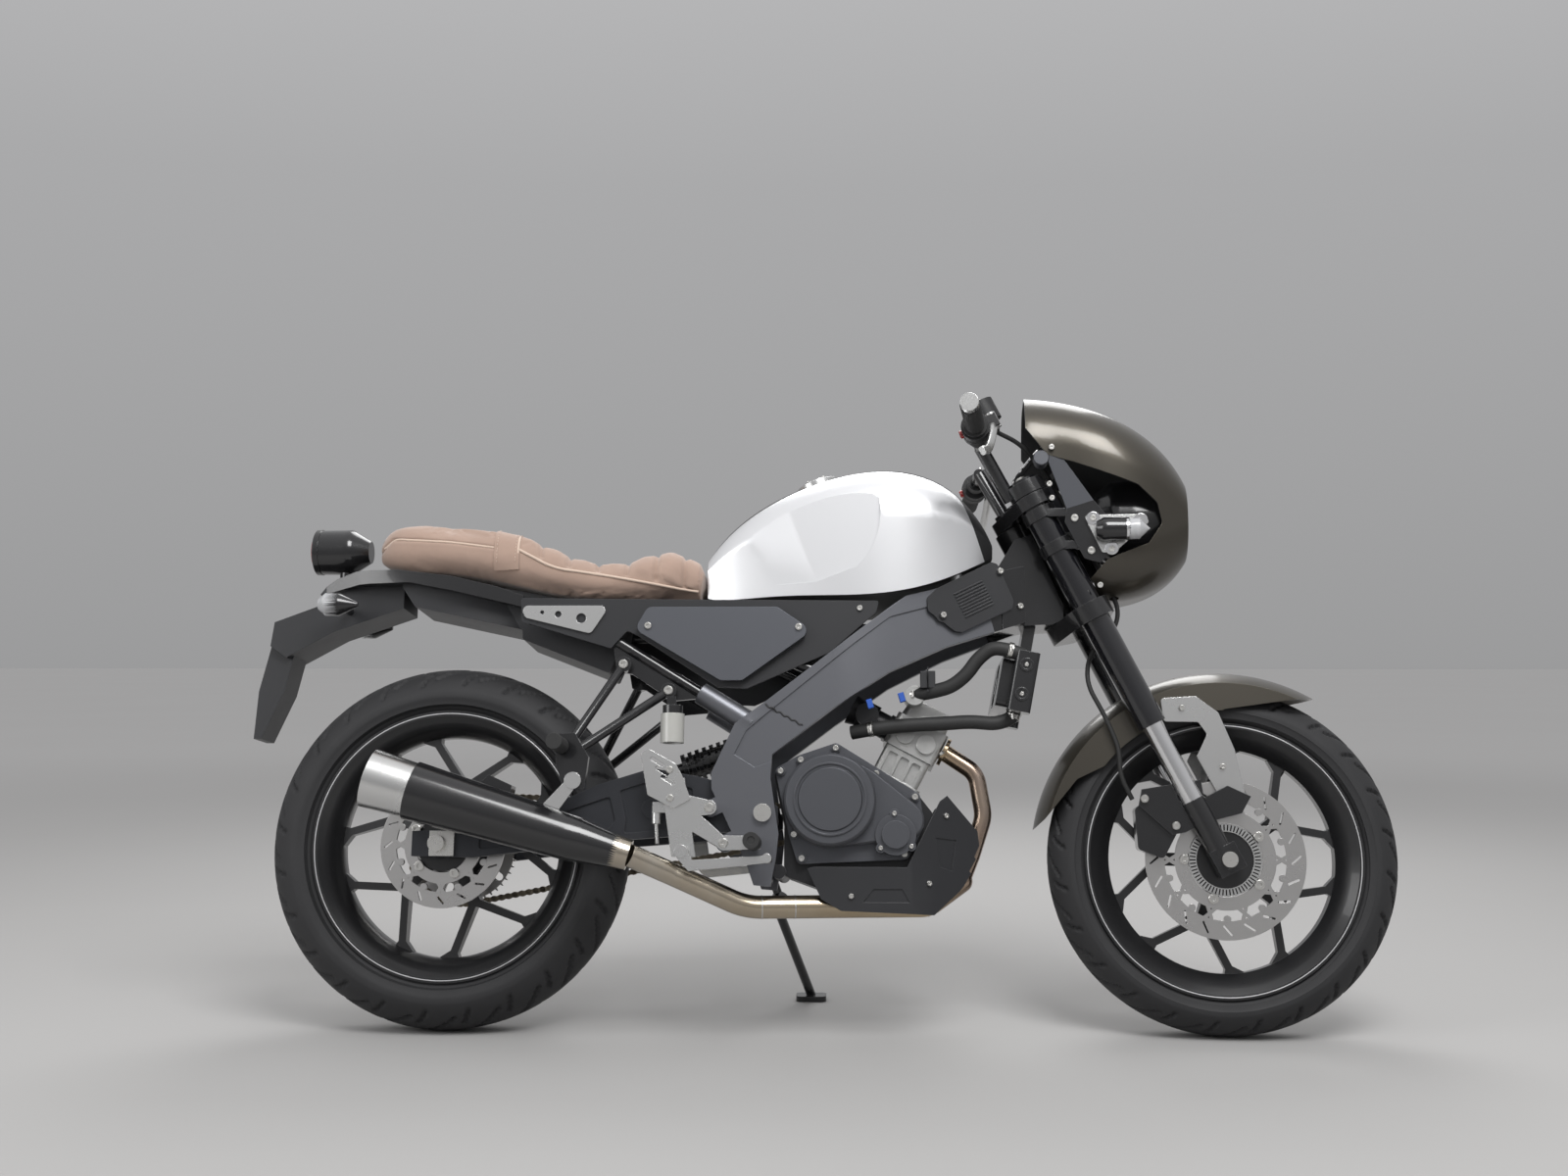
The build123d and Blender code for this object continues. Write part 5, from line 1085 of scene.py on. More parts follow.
def tyre_profile(radius, width, rim_half):
    """Radius, place across and share of the half width round a tyre's section, and its crown's radius."""
    half, bead = width / 2, rim_half - 6
    crown = width * (0.25 + CROWN_SHARE ** 2) / (2 * CROWN_SHARE)
    shoulder = radius - width * CROWN_SHARE
    worn_flat = radius - crown * (1 - cos(LEAN))
    widest = asin(half / crown)
    top = []
    for k in range(CROWN_STEPS + 1):
        angle = -widest + 2 * widest * k / CROWN_STEPS
        across = crown * sin(angle)
        top.append((min(radius - crown * (1 - cos(angle)), worn_flat), across, across / half))
    middle = (shoulder + 232) / 2
    wall = [
        (shoulder - 4, half - 0.2), (shoulder - 6, half + 0.2), (middle + 5, half - 0.6),
        (middle + 3, half - 1.6), (middle - 5, half - 3.2), (240, bead + 5.5), (236.5, bead + 3.4),
        (234, bead + 1), (228, bead + 0.6), (218.5, bead - 0.4),
    ]
    return [(r, -y, -2) for r, y in reversed(wall)] + top + [(r, y, 2) for r, y in wall], crown


def tyre_mesh(radius, width, rim_half):
    """Tyre with grooves cut into its crown and thin rings round its walls."""
    profile, crown = tyre_profile(radius, width, rim_half)
    count = sizes().tread_pitches * STEPS_A_PITCH
    depth = sizes().tread_depth / MM
    bm = bmesh.new()
    rings = []
    for step in range(count):
        angle = 2 * pi * step / count
        ring = []
        for r, y, side in profile:
            rise = sqrt(1 - (y / crown) ** 2)
            outwards = Vector((cos(angle) * rise, y / crown, sin(angle) * rise))
            cut = tread_depth_at(step / STEPS_A_PITCH, side) * depth
            ring.append(bm.verts.new(Vector((r * cos(angle), y, r * sin(angle))) - outwards * cut))
        rings.append(ring)
    bridge(bm, rings + rings[:1])
    return bm


class MOTORCYCLE_OT_tyres(bpy.types.Operator):
    """Turn the tyres with their tread"""

    bl_idname = "motorcycle.tyres"
    bl_label = "Tyres"

    def execute(self, context):
        for name, where, radius, width, rim_half in TYRES:
            bm = tyre_mesh(radius, width, rim_half)
            piece(f"{name}_tyre_tread", where, "tyre_rubber", bm, f"{name}_tyre", sharp=38)
        return {"FINISHED"}


VALVE_PROFILE = [(4.4, 0), (4.4, 6), (3.0, 8), (3.0, 26), (4.1, 27), (4.1, 37), (3.2, 38.5), (0, 38.5)]
# Holes of each brake disc, drawn as flat near-black marks of painted shade: radii, number on each, its outer
# face; and the valve's place as (x, z)
DISC_HOLES = {"front": ((108, 117, 126), 16, 62.6), "rear": ((86, 94, 101), 14, 76.6)}
VALVE_TURN = {"front": 54, "rear": 30}
VALVE_FOOT = 214


class MOTORCYCLE_OT_wheels(bpy.types.Operator):
    """Add rim lines, the disc holes as dark marks of painted shade, valves, the sensor ring, wheel bolts and
    the chain wheel's nuts
    """

    bl_idname = "motorcycle.wheels"
    bl_label = "Wheel and brake fittings"

    def execute(self, context):
        for name, where, _, _, rim_half in TYRES:
            walls = [facing((0, side * (rim_half - 0.6), 0), (0, side, 0)) for side in SIDES]
            drawn(f"{name}_rim_lines", where, "rim_line", *[
                (add_ring, wall, 226.8, 228.6, 0, 0.9, 120, 0.3) for wall in walls])
            radii, count, face = DISC_HOLES[name]
            rows = []
            for k, radius in enumerate(radii):
                rows += right_rows(face, 2.9, circle(count, radius, 5 + k * 5))
            fasteners(f"{name}_disc_holes", where, rows, "hole_black", sides=14, height=0.03, socket=0.9,
                      depth=0.02, chamfer=0.97)
            angle = radians(VALVE_TURN[name])
            foot = Vector((VALVE_FOOT * cos(angle), 0, VALVE_FOOT * sin(angle)))
            drawn(f"{name}_valve", where, "rubber", (add_turned, facing(foot, -foot), VALVE_PROFILE, 16))
        drawn("front_sensor_ring", FRONT_WHEEL, "bright_alloy",
              (add_ring, facing((0, -62.2, 0), RIGHT), 47, 61, -1.4, 0.6, 96))
        # The sensor ring's slots are flat dark marks: painted shade in its openings
        rows = [((x, -62.8, z), RIGHT, 1, (x / 54, 0, z / 54)) for x, z in circle(60, 54)]
        repeated("front_sensor_slots", FRONT_WHEEL, "hole_black",
                 small_slab(lifted(-0.5), oblong(5, 1.1), 0.75, 0.2), rows)
        for name, where, rows in [
            ("front_disc_bolts", FRONT_WHEEL, right_rows(65.2, 8.5, circle(5, 68, 35))),
            ("rear_disc_bolts", REAR_WHEEL, right_rows(79.2, 8.5, circle(5, 53, 7))),
        ]:
            fasteners(name, where, rows, sides=24, height=0.42, socket=0.5)
        rows = [((x, 91.2, z), LEFT, 10) for x, z in circle(5, 56, 25)]
        fasteners("chain_wheel_nuts", REAR_WHEEL, rows, height=0.7, socket=0.55)
        return {"FINISHED"}


# Chain's middle plane, and its wheels as (x, z, pitch radius)
CHAIN_SIDE = 88
CHAIN_REAR, CHAIN_FRONT = (0, 312, 97.1), (608, 362, 28.54)
PIN_PROFILE = [(0, 0), (1.9, 0), (1.9, 2.4), (4.1, 2.4), (4.1, 12.8), (1.9, 12.8), (1.9, 15.2), (0, 15.2)]


def chain_path(pitch):
    """Points at even steps round both chain wheels, about a pitch apart."""
    (x1, z1, r1), (x2, z2, r2) = CHAIN_REAR, CHAIN_FRONT
    rear, front = Vector((x1, 0, z1)), Vector((x2, 0, z2))
    span = hypot(x2 - x1, z2 - z1)
    tilt = atan2(z2 - z1, x2 - x1)
    lean = asin((r1 - r2) / span)
    straight = sqrt(span * span - (r1 - r2) ** 2)
    upper, lower = tilt + pi / 2 - lean, tilt - pi / 2 + lean

    def out(angle):
        return Vector((cos(angle), 0, sin(angle)))

    def ahead(angle):
        return Vector((sin(angle), 0, -cos(angle)))

    # Upper run, front wheel, lower run and rear wheel: each with its length and the point at a distance
    stretches = [
        (straight, lambda run: rear + out(upper) * r1 + ahead(upper) * run),
        (r2 * (pi - 2 * lean), lambda run: front + out(upper - run / r2) * r2),
        (straight, lambda run: front + out(lower) * r2 + ahead(lower) * run),
        (r1 * (pi + 2 * lean), lambda run: rear + out(lower - run / r1) * r1),
    ]
    whole = sum(size for size, _ in stretches)
    count = 2 * round(whole / pitch / 2)
    spots = []
    for k in range(count):
        run = whole * k / count
        for size, point_at in stretches:
            if run < size:
                spots.append(point_at(run))
                break
            run -= size
    return spots


class MOTORCYCLE_OT_chain(bpy.types.Operator):
    """Lay the drive chain's links round the two chain wheels"""

    bl_idname = "motorcycle.chain"
    bl_label = "Drive chain"

    def execute(self, context):
        spots = chain_path(sizes().link_pitch / MM)
        half = (spots[1] - spots[0]).length / 2
        edge = [(-half - 5.6, 0), (-half - 4, 4.2), (-half + 1, 5.3), (0, 3.6), (half - 1, 5.3),
                (half + 4, 4.2), (half + 5.6, 0)]
        outline = edge + [(x, -y) for x, y in edge[-2:0:-1]]
        link = bmesh.new()
        for side in SIDES:
            plate = Matrix.Translation((0, side * 5.2, 0)) @ Matrix.Rotation(-side * pi / 2, 4, "X")
            add_slab(link, plate, outline, 1.6, 0.3)
        for end in (-half, half):
            pin = Matrix.Translation((end, -7.6, 0)) @ Matrix.Rotation(-pi / 2, 4, "X")
            add_turned(link, pin, PIN_PROFILE, 10)
        rows = []
        for spot, after in zip(spots, spots[1:] + spots[:1]):
            run = (after - spot).normalized()
            middle = (spot + after) / 2
            rows.append(((middle.x, CHAIN_SIDE, middle.z), (-run.z, 0, run.x), 1, run))
        repeated("chain_links", CHASSIS, "chain_steel", link, rows, "drive_chain")
        return {"FINISHED"}


MUFFLER_START, MUFFLER_END = Vector((333, -182, 291)), Vector((-101, -200, 415))
MUFFLER_RUN = (MUFFLER_END - MUFFLER_START).normalized()
MUFFLER_LENGTH = (MUFFLER_END - MUFFLER_START).length
# Places along the muffler, in millimetres from its start
CONE_END, LINING_START, TIP_START = 24, 326, 379
RIVET_ROWS = [(12, 384, 31, 2.4), (10, 368, 34, 2.2)]
# Front pipe under the engine: it falls by these shares of its run of 178 mm
PIPE_RUN, PIPE_OUT, PIPE_DROP = 178, 22, 3


class MOTORCYCLE_OT_exhaust(bpy.types.Operator):
    """Finish the muffler with its bright tip, rivets and welds"""

    bl_idname = "motorcycle.exhaust"
    bl_label = "Muffler"

    def execute(self, context):
        def on_tip(middle, normal):
            return (middle - MUFFLER_START).dot(MUFFLER_RUN) > TIP_START

        # The bore behind the tip is painted near black: painted shade inside the tube
        def inside(middle, normal):
            offset = middle - MUFFLER_START
            reach = offset.dot(MUFFLER_RUN)
            bore = (offset - MUFFLER_RUN * reach).length
            return LINING_START < reach < MUFFLER_LENGTH - 2 and bore < 28.6

        def on_cone(middle, normal):
            return (middle - MUFFLER_START).dot(MUFFLER_RUN) < CONE_END

        painted("muffler", CHASSIS, "black_paint bright_alloy hole_black pipe_steel",
                [(2, inside), (1, on_tip), (3, on_cone)])
        around = facing(MUFFLER_START, MUFFLER_RUN)
        drawn("muffler_outlet", CHASSIS, "bright_alloy",
              (add_turned, around, [(0, 352), (27, 352), (27.6, 351), (27.6, 349), (0, 349)], 48),
              (add_ring, around, 15, 17.5, 351, 404, 48, 0.3))
        # A dark disc deep in the outlet: painted shade
        drawn("muffler_outlet_hole", CHASSIS, "hole_black",
              (add_turned, around, [(0, 352.4), (15.1, 352.4), (15.1, 352.1), (0, 352.1)], 32))
        rows = []
        for count, reach, radius, size in RIVET_ROWS:
            for x, y in circle(count):
                out = around.to_3x3() @ Vector((x, y, 0))
                rows.append((MUFFLER_START + MUFFLER_RUN * reach + out * radius, out, size))
        fasteners("muffler_rivets", CHASSIS, rows, sides=12, height=0.4, socket=0.3, depth=0.1)
        drawn("muffler_weld", CHASSIS, "pipe_steel", *[
            (add_ring, facing(MUFFLER_START + MUFFLER_RUN * reach, MUFFLER_RUN), 23.2, 27.2, 0, 1.5, 40, 0.6)
            for reach in (24.6, 26.2, 27.8)])
        parts = []
        for x in (548, 603):
            share = (700 - x) / PIPE_RUN
            middle = (x, -94 - PIPE_OUT * share, 212 - PIPE_DROP * share)
            joint = facing(middle, (PIPE_RUN, PIPE_OUT, PIPE_DROP))
            parts.append((add_ring, joint, 18, 19.8, -0.9, 0.9, 48, 0.5))
        drawn("pipe_welds", CHASSIS, "bright_alloy", *parts)
        return {"FINISHED"}


# Outward direction of the lower guard's folded front on the right side
GUARD_FRONT = (0.472, -0.882, 0)
HEAD_COVER_OUT = (0.239, 0.971)


class MOTORCYCLE_OT_engine(bpy.types.Operator):
    """Bolt the covers, ribs and plugs onto the engine"""

    bl_idname = "motorcycle.engine"
    bl_label = "Engine fittings"

    def execute(self, context):
        rows = right_rows(112, 5.5, [
            (578, 436), (612, 455), (671, 475), (739, 432), (804, 393), (810, 346), (786, 298), (614, 290),
            (601, 330), (592, 394)])
        fasteners("case_bolts", CHASSIS, rows, sides=24, height=0.9, socket=0.55, depth=0.5)
        rows = right_rows(131.2, 4.5, [(769, 364), (746, 307), (797, 310)])
        fasteners("filter_bolts", CHASSIS, rows, height=0.8)
        rows = [
            ((x, side * y, z), (HEAD_COVER_OUT[0], side * HEAD_COVER_OUT[1], 0), 6)
            for side in SIDES for x, y, z in [(855, 105.3, 705), (956, 80.4, 787), (991, 64.5, 728)]
        ]
        fasteners("head_cover_bolts", CHASSIS, rows, height=0.7)
        rows = [((697, -125, 228), RIGHT, 5), ((826, -111, 250), GUARD_FRONT, 5),
                ((856, -95, 363), GUARD_FRONT, 5)]
        fasteners("guard_bolts", CHASSIS, rows, height=0.7)
        ribs = [
            (add_slab, facing((828, -97, 586 + k * 3.4), RIGHT, AHEAD), oblong(1.1, 13), 5, 0.5)
            for k in range(6)
        ]
        drawn("coil_plug", CHASSIS, "soft_plastic", *ribs,
              (add_slab, facing((828, -93, 594.5), RIGHT, AHEAD), oblong(13, 15), 6, 1.5))
        drawn("wiring_plugs", CHASSIS, "blue_plug", *[
            (add_slab, facing(spot, RIGHT, (1, 0, 0.3)), oblong(5, 8), 9, 1)
            for spot in [(729, -112, 550), (783, -112, 561)]])
        rows = [((x, y, 473.6), (0.5, 0, -0.86), 5) for x, y in [(851, -66), (859, -14)]]
        fasteners("exhaust_flange_nuts", CHASSIS, rows, height=0.8)
        return {"FINISHED"}


RADIATOR_MIDDLE = Vector((989, 0, 588))
RADIATOR_TILT = radians(11)
RADIATOR_HEIGHT, RADIATOR_FACE = 88, 13
RADIATOR_BOSSES = [(994, 616), (985, 566)]
BOSS_PROFILE = [(0, 0), (12, 0), (12, 2.4), (11, 3.2), (8, 3.2), (7.6, 1.6), (0, 1.6)]
# Clamps as (middle, direction of the hose)
HOSE_CLAMPS = [
    ((803, -72, 571), (1, -0.45, 0.12)), ((969, -112, 643), (1, 0.05, -0.25)),
    ((972, -80, 532), (0.2, 0.1, 1)), ((731, -79, 511), (1, -0.2, 0.15)),
]


class MOTORCYCLE_OT_cooling(bpy.types.Operator):
    """Fill the radiator's core with fins and clamp its hoses"""

    bl_idname = "motorcycle.cooling"
    bl_label = "Radiator fittings"

    def execute(self, context):
        ahead = Vector((cos(RADIATOR_TILT), 0, -sin(RADIATOR_TILT)))
        rise = Vector((sin(RADIATOR_TILT), 0, cos(RADIATOR_TILT)))
        pitch = sizes().fin_pitch / MM
        count = int(RADIATOR_HEIGHT / pitch)
        face = RADIATOR_MIDDLE + ahead * RADIATOR_FACE
        rows = [(face + rise * (k - (count - 1) / 2) * pitch, ahead, 1, LEFT) for k in range(count)]
        fin = small_slab(lifted(-0.4), oblong(94, 0.35), 1.6, 0.1)
        repeated("radiator_fins", CHASSIS, "cast_alloy", fin, rows)
        parts = []
        for spot, run in HOSE_CLAMPS:
            screw = facing(Vector(spot) - Vector((0, 14.7, 0)), UP)
            parts.append((add_ring, facing(spot, run), 11.6, 13.2, -4, 4, 40, 0.5))
            parts.append((add_turned, screw, [(0, -5), (2.6, -5), (2.6, 5), (0, 5)], 12))
        drawn("hose_clamps", CHASSIS, "steel", *parts)
        drawn("radiator_bosses", CHASSIS, "black_paint", *[
            (add_turned, facing((x, -125.8, z), RIGHT), BOSS_PROFILE) for x, z in RADIATOR_BOSSES])
        fasteners("radiator_screws", CHASSIS, right_rows(127.2, 4, RADIATOR_BOSSES), height=0.6)
        return {"FINISHED"}


# Cowl's top band as (x, half of its width), and the planes along its edges
BAND = [(1005, 86), (1100, 48), (1182, 8)]
BAND_CUTS = [
    cut for side in SIDES
    for cut in (((1005, side * 86, 1060), (38, side * 95, 0)), ((1100, side * 48, 1060), (40, side * 82, 0)))
]
LAMP_HEIGHT = 884
LAMP_STUDS = [(1120, 872), (1150, 820), (1200, 868)]
STUD_PROFILE = [(0, 0), (12, 0), (12, 6), (11, 7), (0, 7)]
KNOB_PROFILE = [(0, 0), (7, 0), (7, 7), (5.5, 9), (0, 9)]
CAN_PROFILE = [(0, 0), (12, 0), (12, 12), (14, 13), (14, 26), (12.5, 28), (0, 28)]


class MOTORCYCLE_OT_cowl(bpy.types.Operator):
    """Paint the cowl with its black top band, and finish the lamps on it"""

    bl_idname = "motorcycle.cowl"
    bl_label = "Cowl and front lamps"

    def execute(self, context):
        def on_band(middle, normal):
            within = abs(middle.y) < along(BAND, middle.x)
            return within and middle.x < 1182 and middle.z > 1010 and normal.z > 0.1

        def on_edge(middle, normal):
            return normal.x < -0.8

        def inside(middle, normal):
            return normal.dot(middle - Vector((1150, 0, 900))) < 0

        def on_glass(middle, normal):
            return middle.x > 1261.5 and hypot(middle.y, middle.z - LAMP_HEIGHT) < 75

        def on_rim(middle, normal):
            return middle.x > 1250 and normal.x > -0.3

        def on_indicator(middle, normal):
            return abs(middle.y) > 131.5

        def on_indicator_glass(middle, normal):
            return abs(middle.y) > 131.5 and middle.x > 1176

        def on_upper_stay(middle, normal):
            return middle.z > 912 and abs(middle.y) > 117

        for node, materials, rules, cuts, sharp in [
            ("cowl", "bronze_paint band_black plastic", [(2, inside), (1, on_edge), (1, on_band)],
             BAND_CUTS, 40),
            ("headlight", "black_paint clear_lens chrome", [(1, on_glass), (2, on_rim)], (), 35),
            ("front_indicators", "bright_alloy clear_lens black_paint",
             [(1, on_indicator_glass), (2, on_indicator)], (), 35),
            ("headlight_stays", "black_paint stay_grey", [(1, on_upper_stay)], (), 35),
        ]:
            painted(node, FRONT_END, materials, rules, cuts, sharp=sharp)
        drawn("headlight_rim", FRONT_END, "chrome",
              (add_ring, facing((1262, 0, LAMP_HEIGHT), AHEAD), 73, 79, -3, 3.4, 96, 1.2))
        parts = []
        for side in SIDES:
            parts.append((add_ring, facing((1176, side * 143.5, 850), AHEAD), 17, 19.6, -2.5, 2.5, 40, 0.8))
            for x, z in LAMP_STUDS:
                parts.append((add_turned, facing((x, side * 122.6, z), (0, side, 0)), STUD_PROFILE))
        drawn("indicator_rims", FRONT_END, "chrome", *parts)
        rows = mirrored([
            (1052, 127, 999, 5), (1129, 127, 756, 5), (1089, 122, 874, 6.5), (1116, 122, 817, 6.5),
            (1120, 128.6, 872, 5.5), (1150, 128.6, 818, 5.5)])
        fasteners("cowl_screws", FRONT_END, rows, sides=20, height=0.5)
        drawn("cowl_knob", FRONT_END, "plastic",
              (add_turned, facing((1030, 0, 1098), (-0.1, 0, 1)), KNOB_PROFILE, 24))
        drawn("cowl_side_can", FRONT_END, "stay_grey",
              (add_turned, facing((1034, -96, 979), (0, -1, 0.1)), CAN_PROFILE, 28))
        return {"FINISHED"}


GAUGE_MIDDLE, GAUGE_AXIS = Vector((1052, 0, 968)), Vector((-0.75, 0, 0.66))
GAUGE_DEPTH = 44
GAUGE_MARKS, GAUGE_SWEEP = 41, 260


class MOTORCYCLE_OT_instrument(bpy.types.Operator):
    """Draw the round gauge's face, marks, hand and rim"""

    bl_idname = "motorcycle.instrument"
    bl_label = "Gauge"

    def execute(self, context):
        face = facing(GAUGE_MIDDLE + GAUGE_AXIS.normalized() * GAUGE_DEPTH, GAUGE_AXIS)
        drawn("gauge_face", FRONT_END, "dial_face",
              (add_turned, face, [(0, 0.5), (41, 0.5), (41, 0.1), (0, 0.1)], 64))
        drawn("gauge_rim", FRONT_END, "chrome", (add_ring, face, 41, 46, -1, 3.6, 72, 1.2))
        turn = face.to_3x3()
        out = turn.col[2]
        rows = []
        for k in range(GAUGE_MARKS):
            angle = radians(GAUGE_SWEEP * (k / (GAUGE_MARKS - 1) - 0.5))
            size = 1.0 if k % 5 == 0 else 0.55
            spoke = turn @ Vector((cos(angle), sin(angle), 0))
            rows.append((face.translation + spoke * (38.05 - size) + out * 0.45, out, size, spoke))
        mark = small_slab(lifted(0), oblong(3.2, 0.5), 0.35, 0.1)
        repeated("gauge_marks", FRONT_END, "dial_mark", mark, rows)
        hand = face @ lifted(1.2) @ Matrix.Rotation(radians(-118), 4, "Z")
        drawn("gauge_hand", FRONT_END, "red_lens",
              (add_slab, hand, [(-6, -1.4), (30, -0.5), (30, 0.5), (-6, 1.4)], 0.6, 0.2),
              (add_turned, face, [(0, 0.4), (4, 0.4), (4, 2.2), (3, 2.8), (0, 2.8)], 24))
        return {"FINISHED"}


# Fork legs from the steering axis, and places along a bar from the middle, in the fork's frame
LEG_AHEAD, LEG_SIDE = 45, 92
BAR_START, SWITCHES_AT, GRIP_START, GRIP_END, BAR_END = 104, 229, 256, 384, 390
SWITCH_KNOB = [(0, -4), (7, -4), (7, 3), (5.6, 4.4), (0, 4.4)]


def along_bar(reach, side):
    """Frame on a bar at this distance from the middle, its z axis pointing outwards along the bar."""
    share = (reach - BAR_START) / (BAR_END - BAR_START)
    start = (8 - 17 * share, side * reach, 815 + 9 * share)
    return facing(start, (-17, side * (BAR_END - BAR_START), 9))


class MOTORCYCLE_OT_bars(bpy.types.Operator):
    """Rib the grips and finish the bars, their ends and the switches"""

    bl_idname = "motorcycle.bars"
    bl_label = "Bars, grips and switches"

    def execute(self, context):
        ribs = [(12.0, 256), (21, 256), (21, 262), (16.0, 262.4)]
        for low in range(264, 380, 5):
            ribs += [(15.5, low), (16.5, low + 0.8), (16.5, low + 3.4), (15.5, low + 4.2)]
        ribs += [(16.5, GRIP_END), (12.0, GRIP_END)]
        grip = along_bar(GRIP_END, 1).translation - along_bar(GRIP_START, 1).translation
        stretch = grip.length / (GRIP_END - GRIP_START)
        profile = [(radius, (reach - GRIP_START) * stretch) for radius, reach in ribs + ribs[:1]]
        bm = bmesh.new()
        for side in SIDES:
            add_turned(bm, along_bar(GRIP_START, side), profile, 48)
        bmesh.ops.remove_doubles(bm, verts=bm.verts, dist=0.0001)
        piece("grip_rubber", FORK, "rubber", bm, "grips")
        painted("handlebars", FORK, "black_paint bright_alloy",
                [(1, lambda middle, _: abs(middle.y) > GRIP_END)])
        drawn("switch_knobs", FORK, "red_lens", *[
            (add_turned, facing((x, y, 822), (-1, 0, 0.1)), SWITCH_KNOB, 24)
            for x, y in [(-24, -SWITCHES_AT), (-25, SWITCHES_AT)]])
        drawn("switch_seams", FORK, "plastic", *[
            (add_ring, along_bar(SWITCHES_AT, side), 23.4, 24.6, -0.8, 0.8, 48, 0.3) for side in SIDES])
        rows = [((LEG_AHEAD, side * LEG_SIDE, 730), UP, 9) for side in SIDES]
        fasteners("fork_caps", FORK, rows, height=0.6, socket=0.5)
        to_fork = FORK[1].inverted() @ STEERED
        rows = [
            (to_fork @ Vector(point), to_fork.to_3x3() @ Vector(normal), size)
            for point, normal, size in mirrored([(1047, 126, 934, 5), (1051, 126, 909, 5)])
        ]
        rows += [
            ((20, side * y, z), (-0.2, 0, 1), 3.6) for side in SIDES for y, z in [(158, 834.3), (194, 835.2)]
        ]
        rows += [((34 + x, -168 + y, 871), UP, 2.8) for x, y in circle(4, 15)]
        fasteners("bar_screws", FORK, rows, sides=16, height=0.6)
        return {"FINISHED"}


HEAD_PLANE = ((940, 0, 700), (0.96, 0, 0.27))
# Rows of rubber rings on the pegs: x, z, first and last place from the middle
PEGS = [(216, 470, 190, 258), (536, 313, 166, 236)]
JOINT_START, JOINT_RUN, JOINT_STEPS = Vector((546, 0, 548)), Vector((76, 0, -42)), 12
POT = (397, -150, 542)


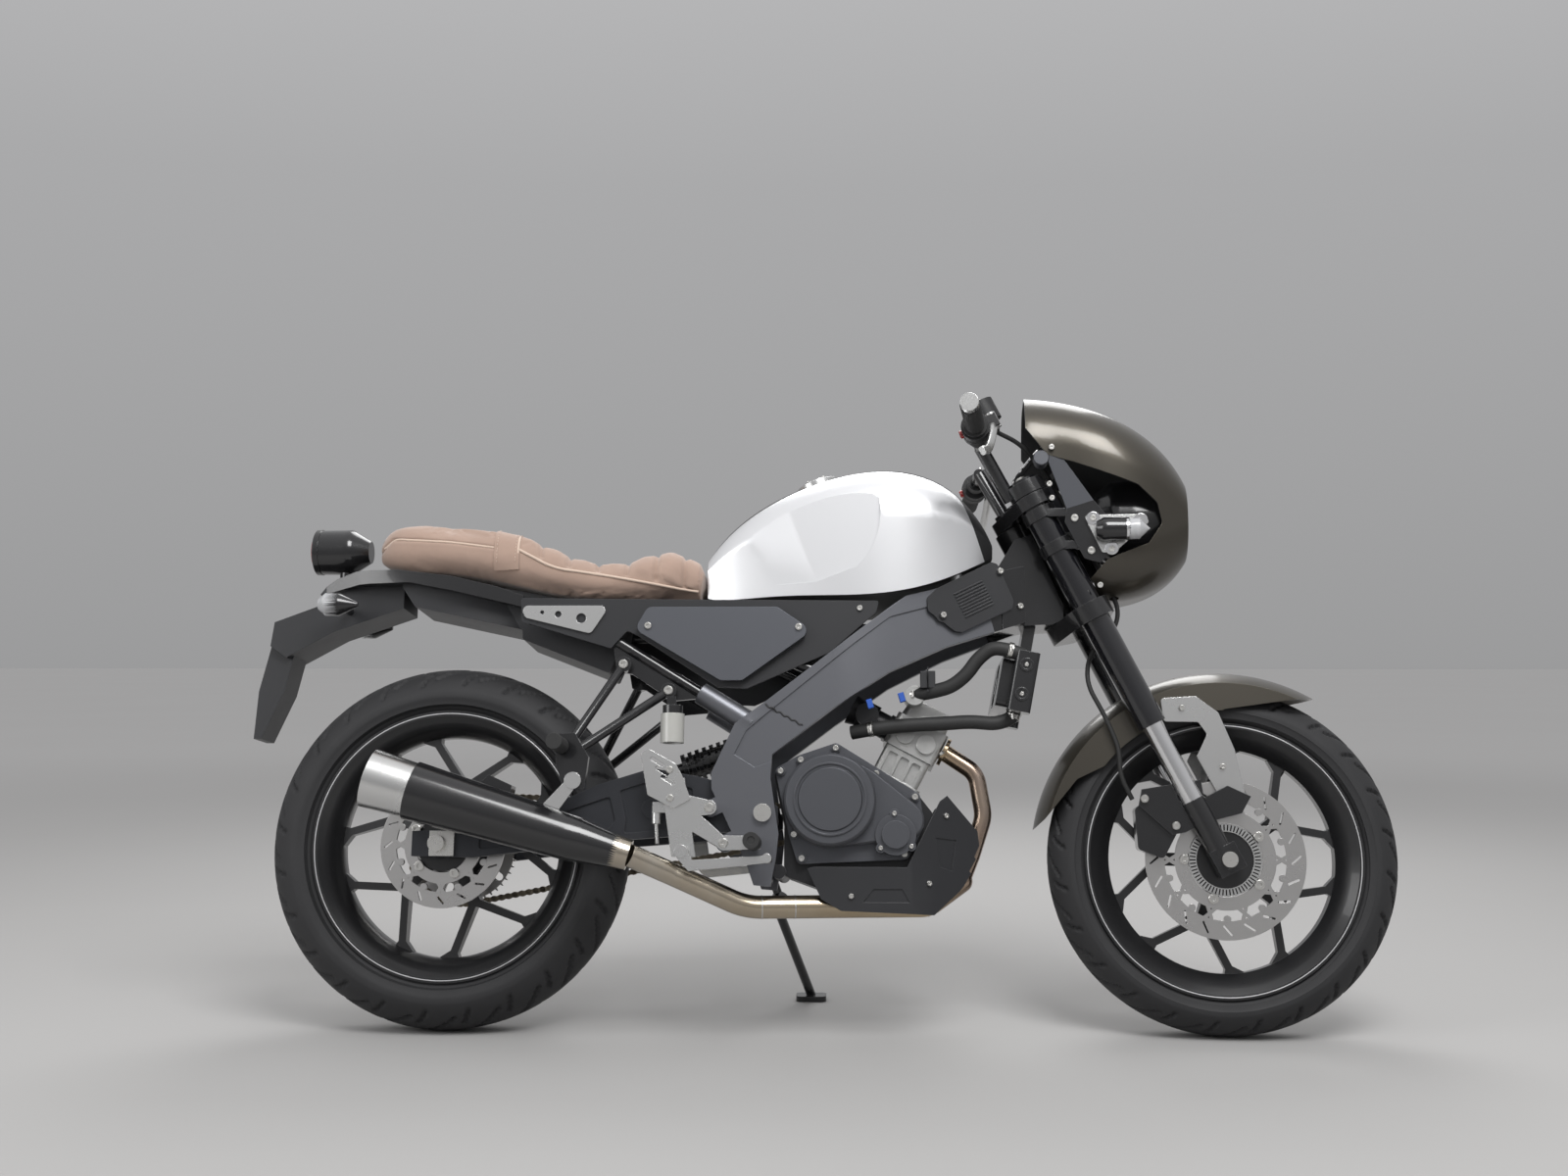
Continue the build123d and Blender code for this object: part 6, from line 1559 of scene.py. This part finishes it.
class MOTORCYCLE_OT_rear_end(bpy.types.Operator):
    """Finish the frame, the tail lamp, the side covers, the pegs and the small controls"""

    bl_idname = "motorcycle.rear_end"
    bl_label = "Frame fittings, lamps and pegs"

    def execute(self, context):
        def on_tail_glass(middle, normal):
            return abs(middle.y) < 40 and middle.z > 790 and middle.x < -263

        def on_indicator_glass(middle, normal):
            return abs(middle.y) > 60 and middle.x < -200

        def on_trim_plate(middle, normal):
            return middle.x < 300

        def on_cap(middle, normal):
            return middle.z > 527.5

        def on_pot(middle, normal):
            return middle.z > 470

        for node, materials, rules, cuts in [
            ("rear_lamps", "black_paint red_lens clear_lens",
             [(1, on_tail_glass), (2, on_indicator_glass)], ()),
            ("side_covers", "panel_paint bright_alloy", [(1, on_trim_plate)], ()),
            ("rear_master_cylinder", "bright_alloy black_paint bottle", [(1, on_cap), (2, on_pot)], ()),
            ("main_frame", "frame_paint black_paint", [(1, beyond(*HEAD_PLANE))], [HEAD_PLANE]),
        ]:
            painted(node, CHASSIS, materials, rules, cuts)
        drawn("tail_lamp_rim", CHASSIS, "black_paint",
              (add_ring, facing((-266, 0, 840), (-1, 0, 0)), 37, 41.4, -6, 4, 64, 1.2))
        parts = []
        for side in SIDES:
            for x, z, low, high in PEGS:
                for y in range(low, high - 4, 5):
                    spot = facing((x, side * y, z), (0, side, 0))
                    parts.append((add_ring, spot, 12.6, 13.6, 0, 2.6, 28, 0.5))
                end = facing((x, side * (high + 1), z), (0, side, 0))
                parts.append((add_ring, end, 6, 13.8, 0, 2.4, 28, 0.6))
        drawn("peg_ribs", CHASSIS, "rubber", *parts)
        rows = mirrored([
            (309, 128, 616, 8), (387, 128, 571, 8), (350, 132, 682, 6), (608, 132, 680, 6),
            (712, 118, 715, 5), (395, 165, 433, 6), (397, 165, 386, 6), (462, 160, 371, 8),
            (486, 160, 313, 8)])
        fasteners("frame_bolts", CHASSIS, rows, sides=24, height=0.55, socket=0.5)
        rows = right_rows(94, 7, [(1196, 396), (1247, 351)])
        fasteners("caliper_bolts", FRONT_END, rows, sides=24, height=0.7)
        rows = mirrored([
            (x - WHEELBASE, 75, z - FRONT_RADIUS, 5) for x, z in [(1265, 551), (1330, 451), (1351, 406)]])
        fasteners("mudguard_screws", ("front_end", FRONT_WHEEL[1]), rows, sides=24, height=0.5)
        skin = BVHTree.FromBMesh(welded("main_frame"))
        back = BIKE.inverted()
        turn = BIKE.to_3x3().normalized()
        marks = bmesh.new()
        for side in SIDES:
            route = []
            for k in range(JOINT_STEPS + 1):
                spot = JOINT_START + JOINT_RUN * (k / JOINT_STEPS) + Vector((0, side * 260, 3 * (k % 2)))
                hit = skin.ray_cast(BIKE @ spot, turn @ Vector((0, -side, 0)), 0.2)[0]
                if hit and abs((back @ hit).y) > 90:
                    route.append(back @ hit)
            if len(route) > 2:
                add_hose(marks, route, 1.7, 8, 3)
        piece("frame_joint_marks", CHASSIS, "plastic", marks)
        rows = right_rows(170, 7, [(232, 414)])
        fasteners("stay_grommet", CHASSIS, rows, "rubber", sides=24, height=0.5, socket=0.6)
        rows = [((POT[0] + dx, POT[1], POT[2]), UP, 2.6) for dx in (11, -11)]
        fasteners("pot_screws", CHASSIS, rows, sides=16, height=0.5)
        return {"FINISHED"}


OPERATORS = [
    MOTORCYCLE_OT_stage, MOTORCYCLE_OT_castings, MOTORCYCLE_OT_tank, MOTORCYCLE_OT_seat, MOTORCYCLE_OT_tyres,
    MOTORCYCLE_OT_wheels, MOTORCYCLE_OT_chain, MOTORCYCLE_OT_exhaust, MOTORCYCLE_OT_engine,
    MOTORCYCLE_OT_cooling, MOTORCYCLE_OT_cowl, MOTORCYCLE_OT_instrument, MOTORCYCLE_OT_bars,
    MOTORCYCLE_OT_rear_end,
]


class MOTORCYCLE_PT_panel(bpy.types.Panel):
    """Sizes, colours and pieces of the motorcycle"""

    bl_idname = "MOTORCYCLE_PT_panel"
    bl_label = "Motorcycle"
    bl_space_type = "VIEW_3D"
    bl_region_type = "UI"
    bl_category = "Motorcycle"

    def draw(self, context):
        for group in (context.scene.motorcycle_sizes, context.scene.motorcycle_colours):
            for name in group.__annotations__:
                self.layout.prop(group, name)
        for operator in OPERATORS:
            self.layout.operator(operator.bl_idname)


CLASSES = [MotorcycleSizes, MotorcycleColours] + OPERATORS + [MOTORCYCLE_PT_panel]


def register():
    """Add the classes and the settings to Blender."""
    for each in CLASSES:
        bpy.utils.register_class(each)
    bpy.types.Scene.motorcycle_sizes = PointerProperty(type=MotorcycleSizes)
    bpy.types.Scene.motorcycle_colours = PointerProperty(type=MotorcycleColours)


def unregister():
    """Take the settings and the classes out again."""
    del bpy.types.Scene.motorcycle_colours
    del bpy.types.Scene.motorcycle_sizes
    for each in reversed(CLASSES):
        bpy.utils.unregister_class(each)


def main():
    """Build every piece in order."""
    register()
    tones = bpy.context.scene.motorcycle_colours
    FINISHES.update(paints(tones) | metals() | soft_finishes(tones))
    TREES["fasteners"] = fastener_tree()
    TREES["rows"] = row_tree()
    for operator in OPERATORS:
        area, name = operator.bl_idname.split(".")
        getattr(getattr(bpy.ops, area), name)()


if __name__ == "__main__":
    main()
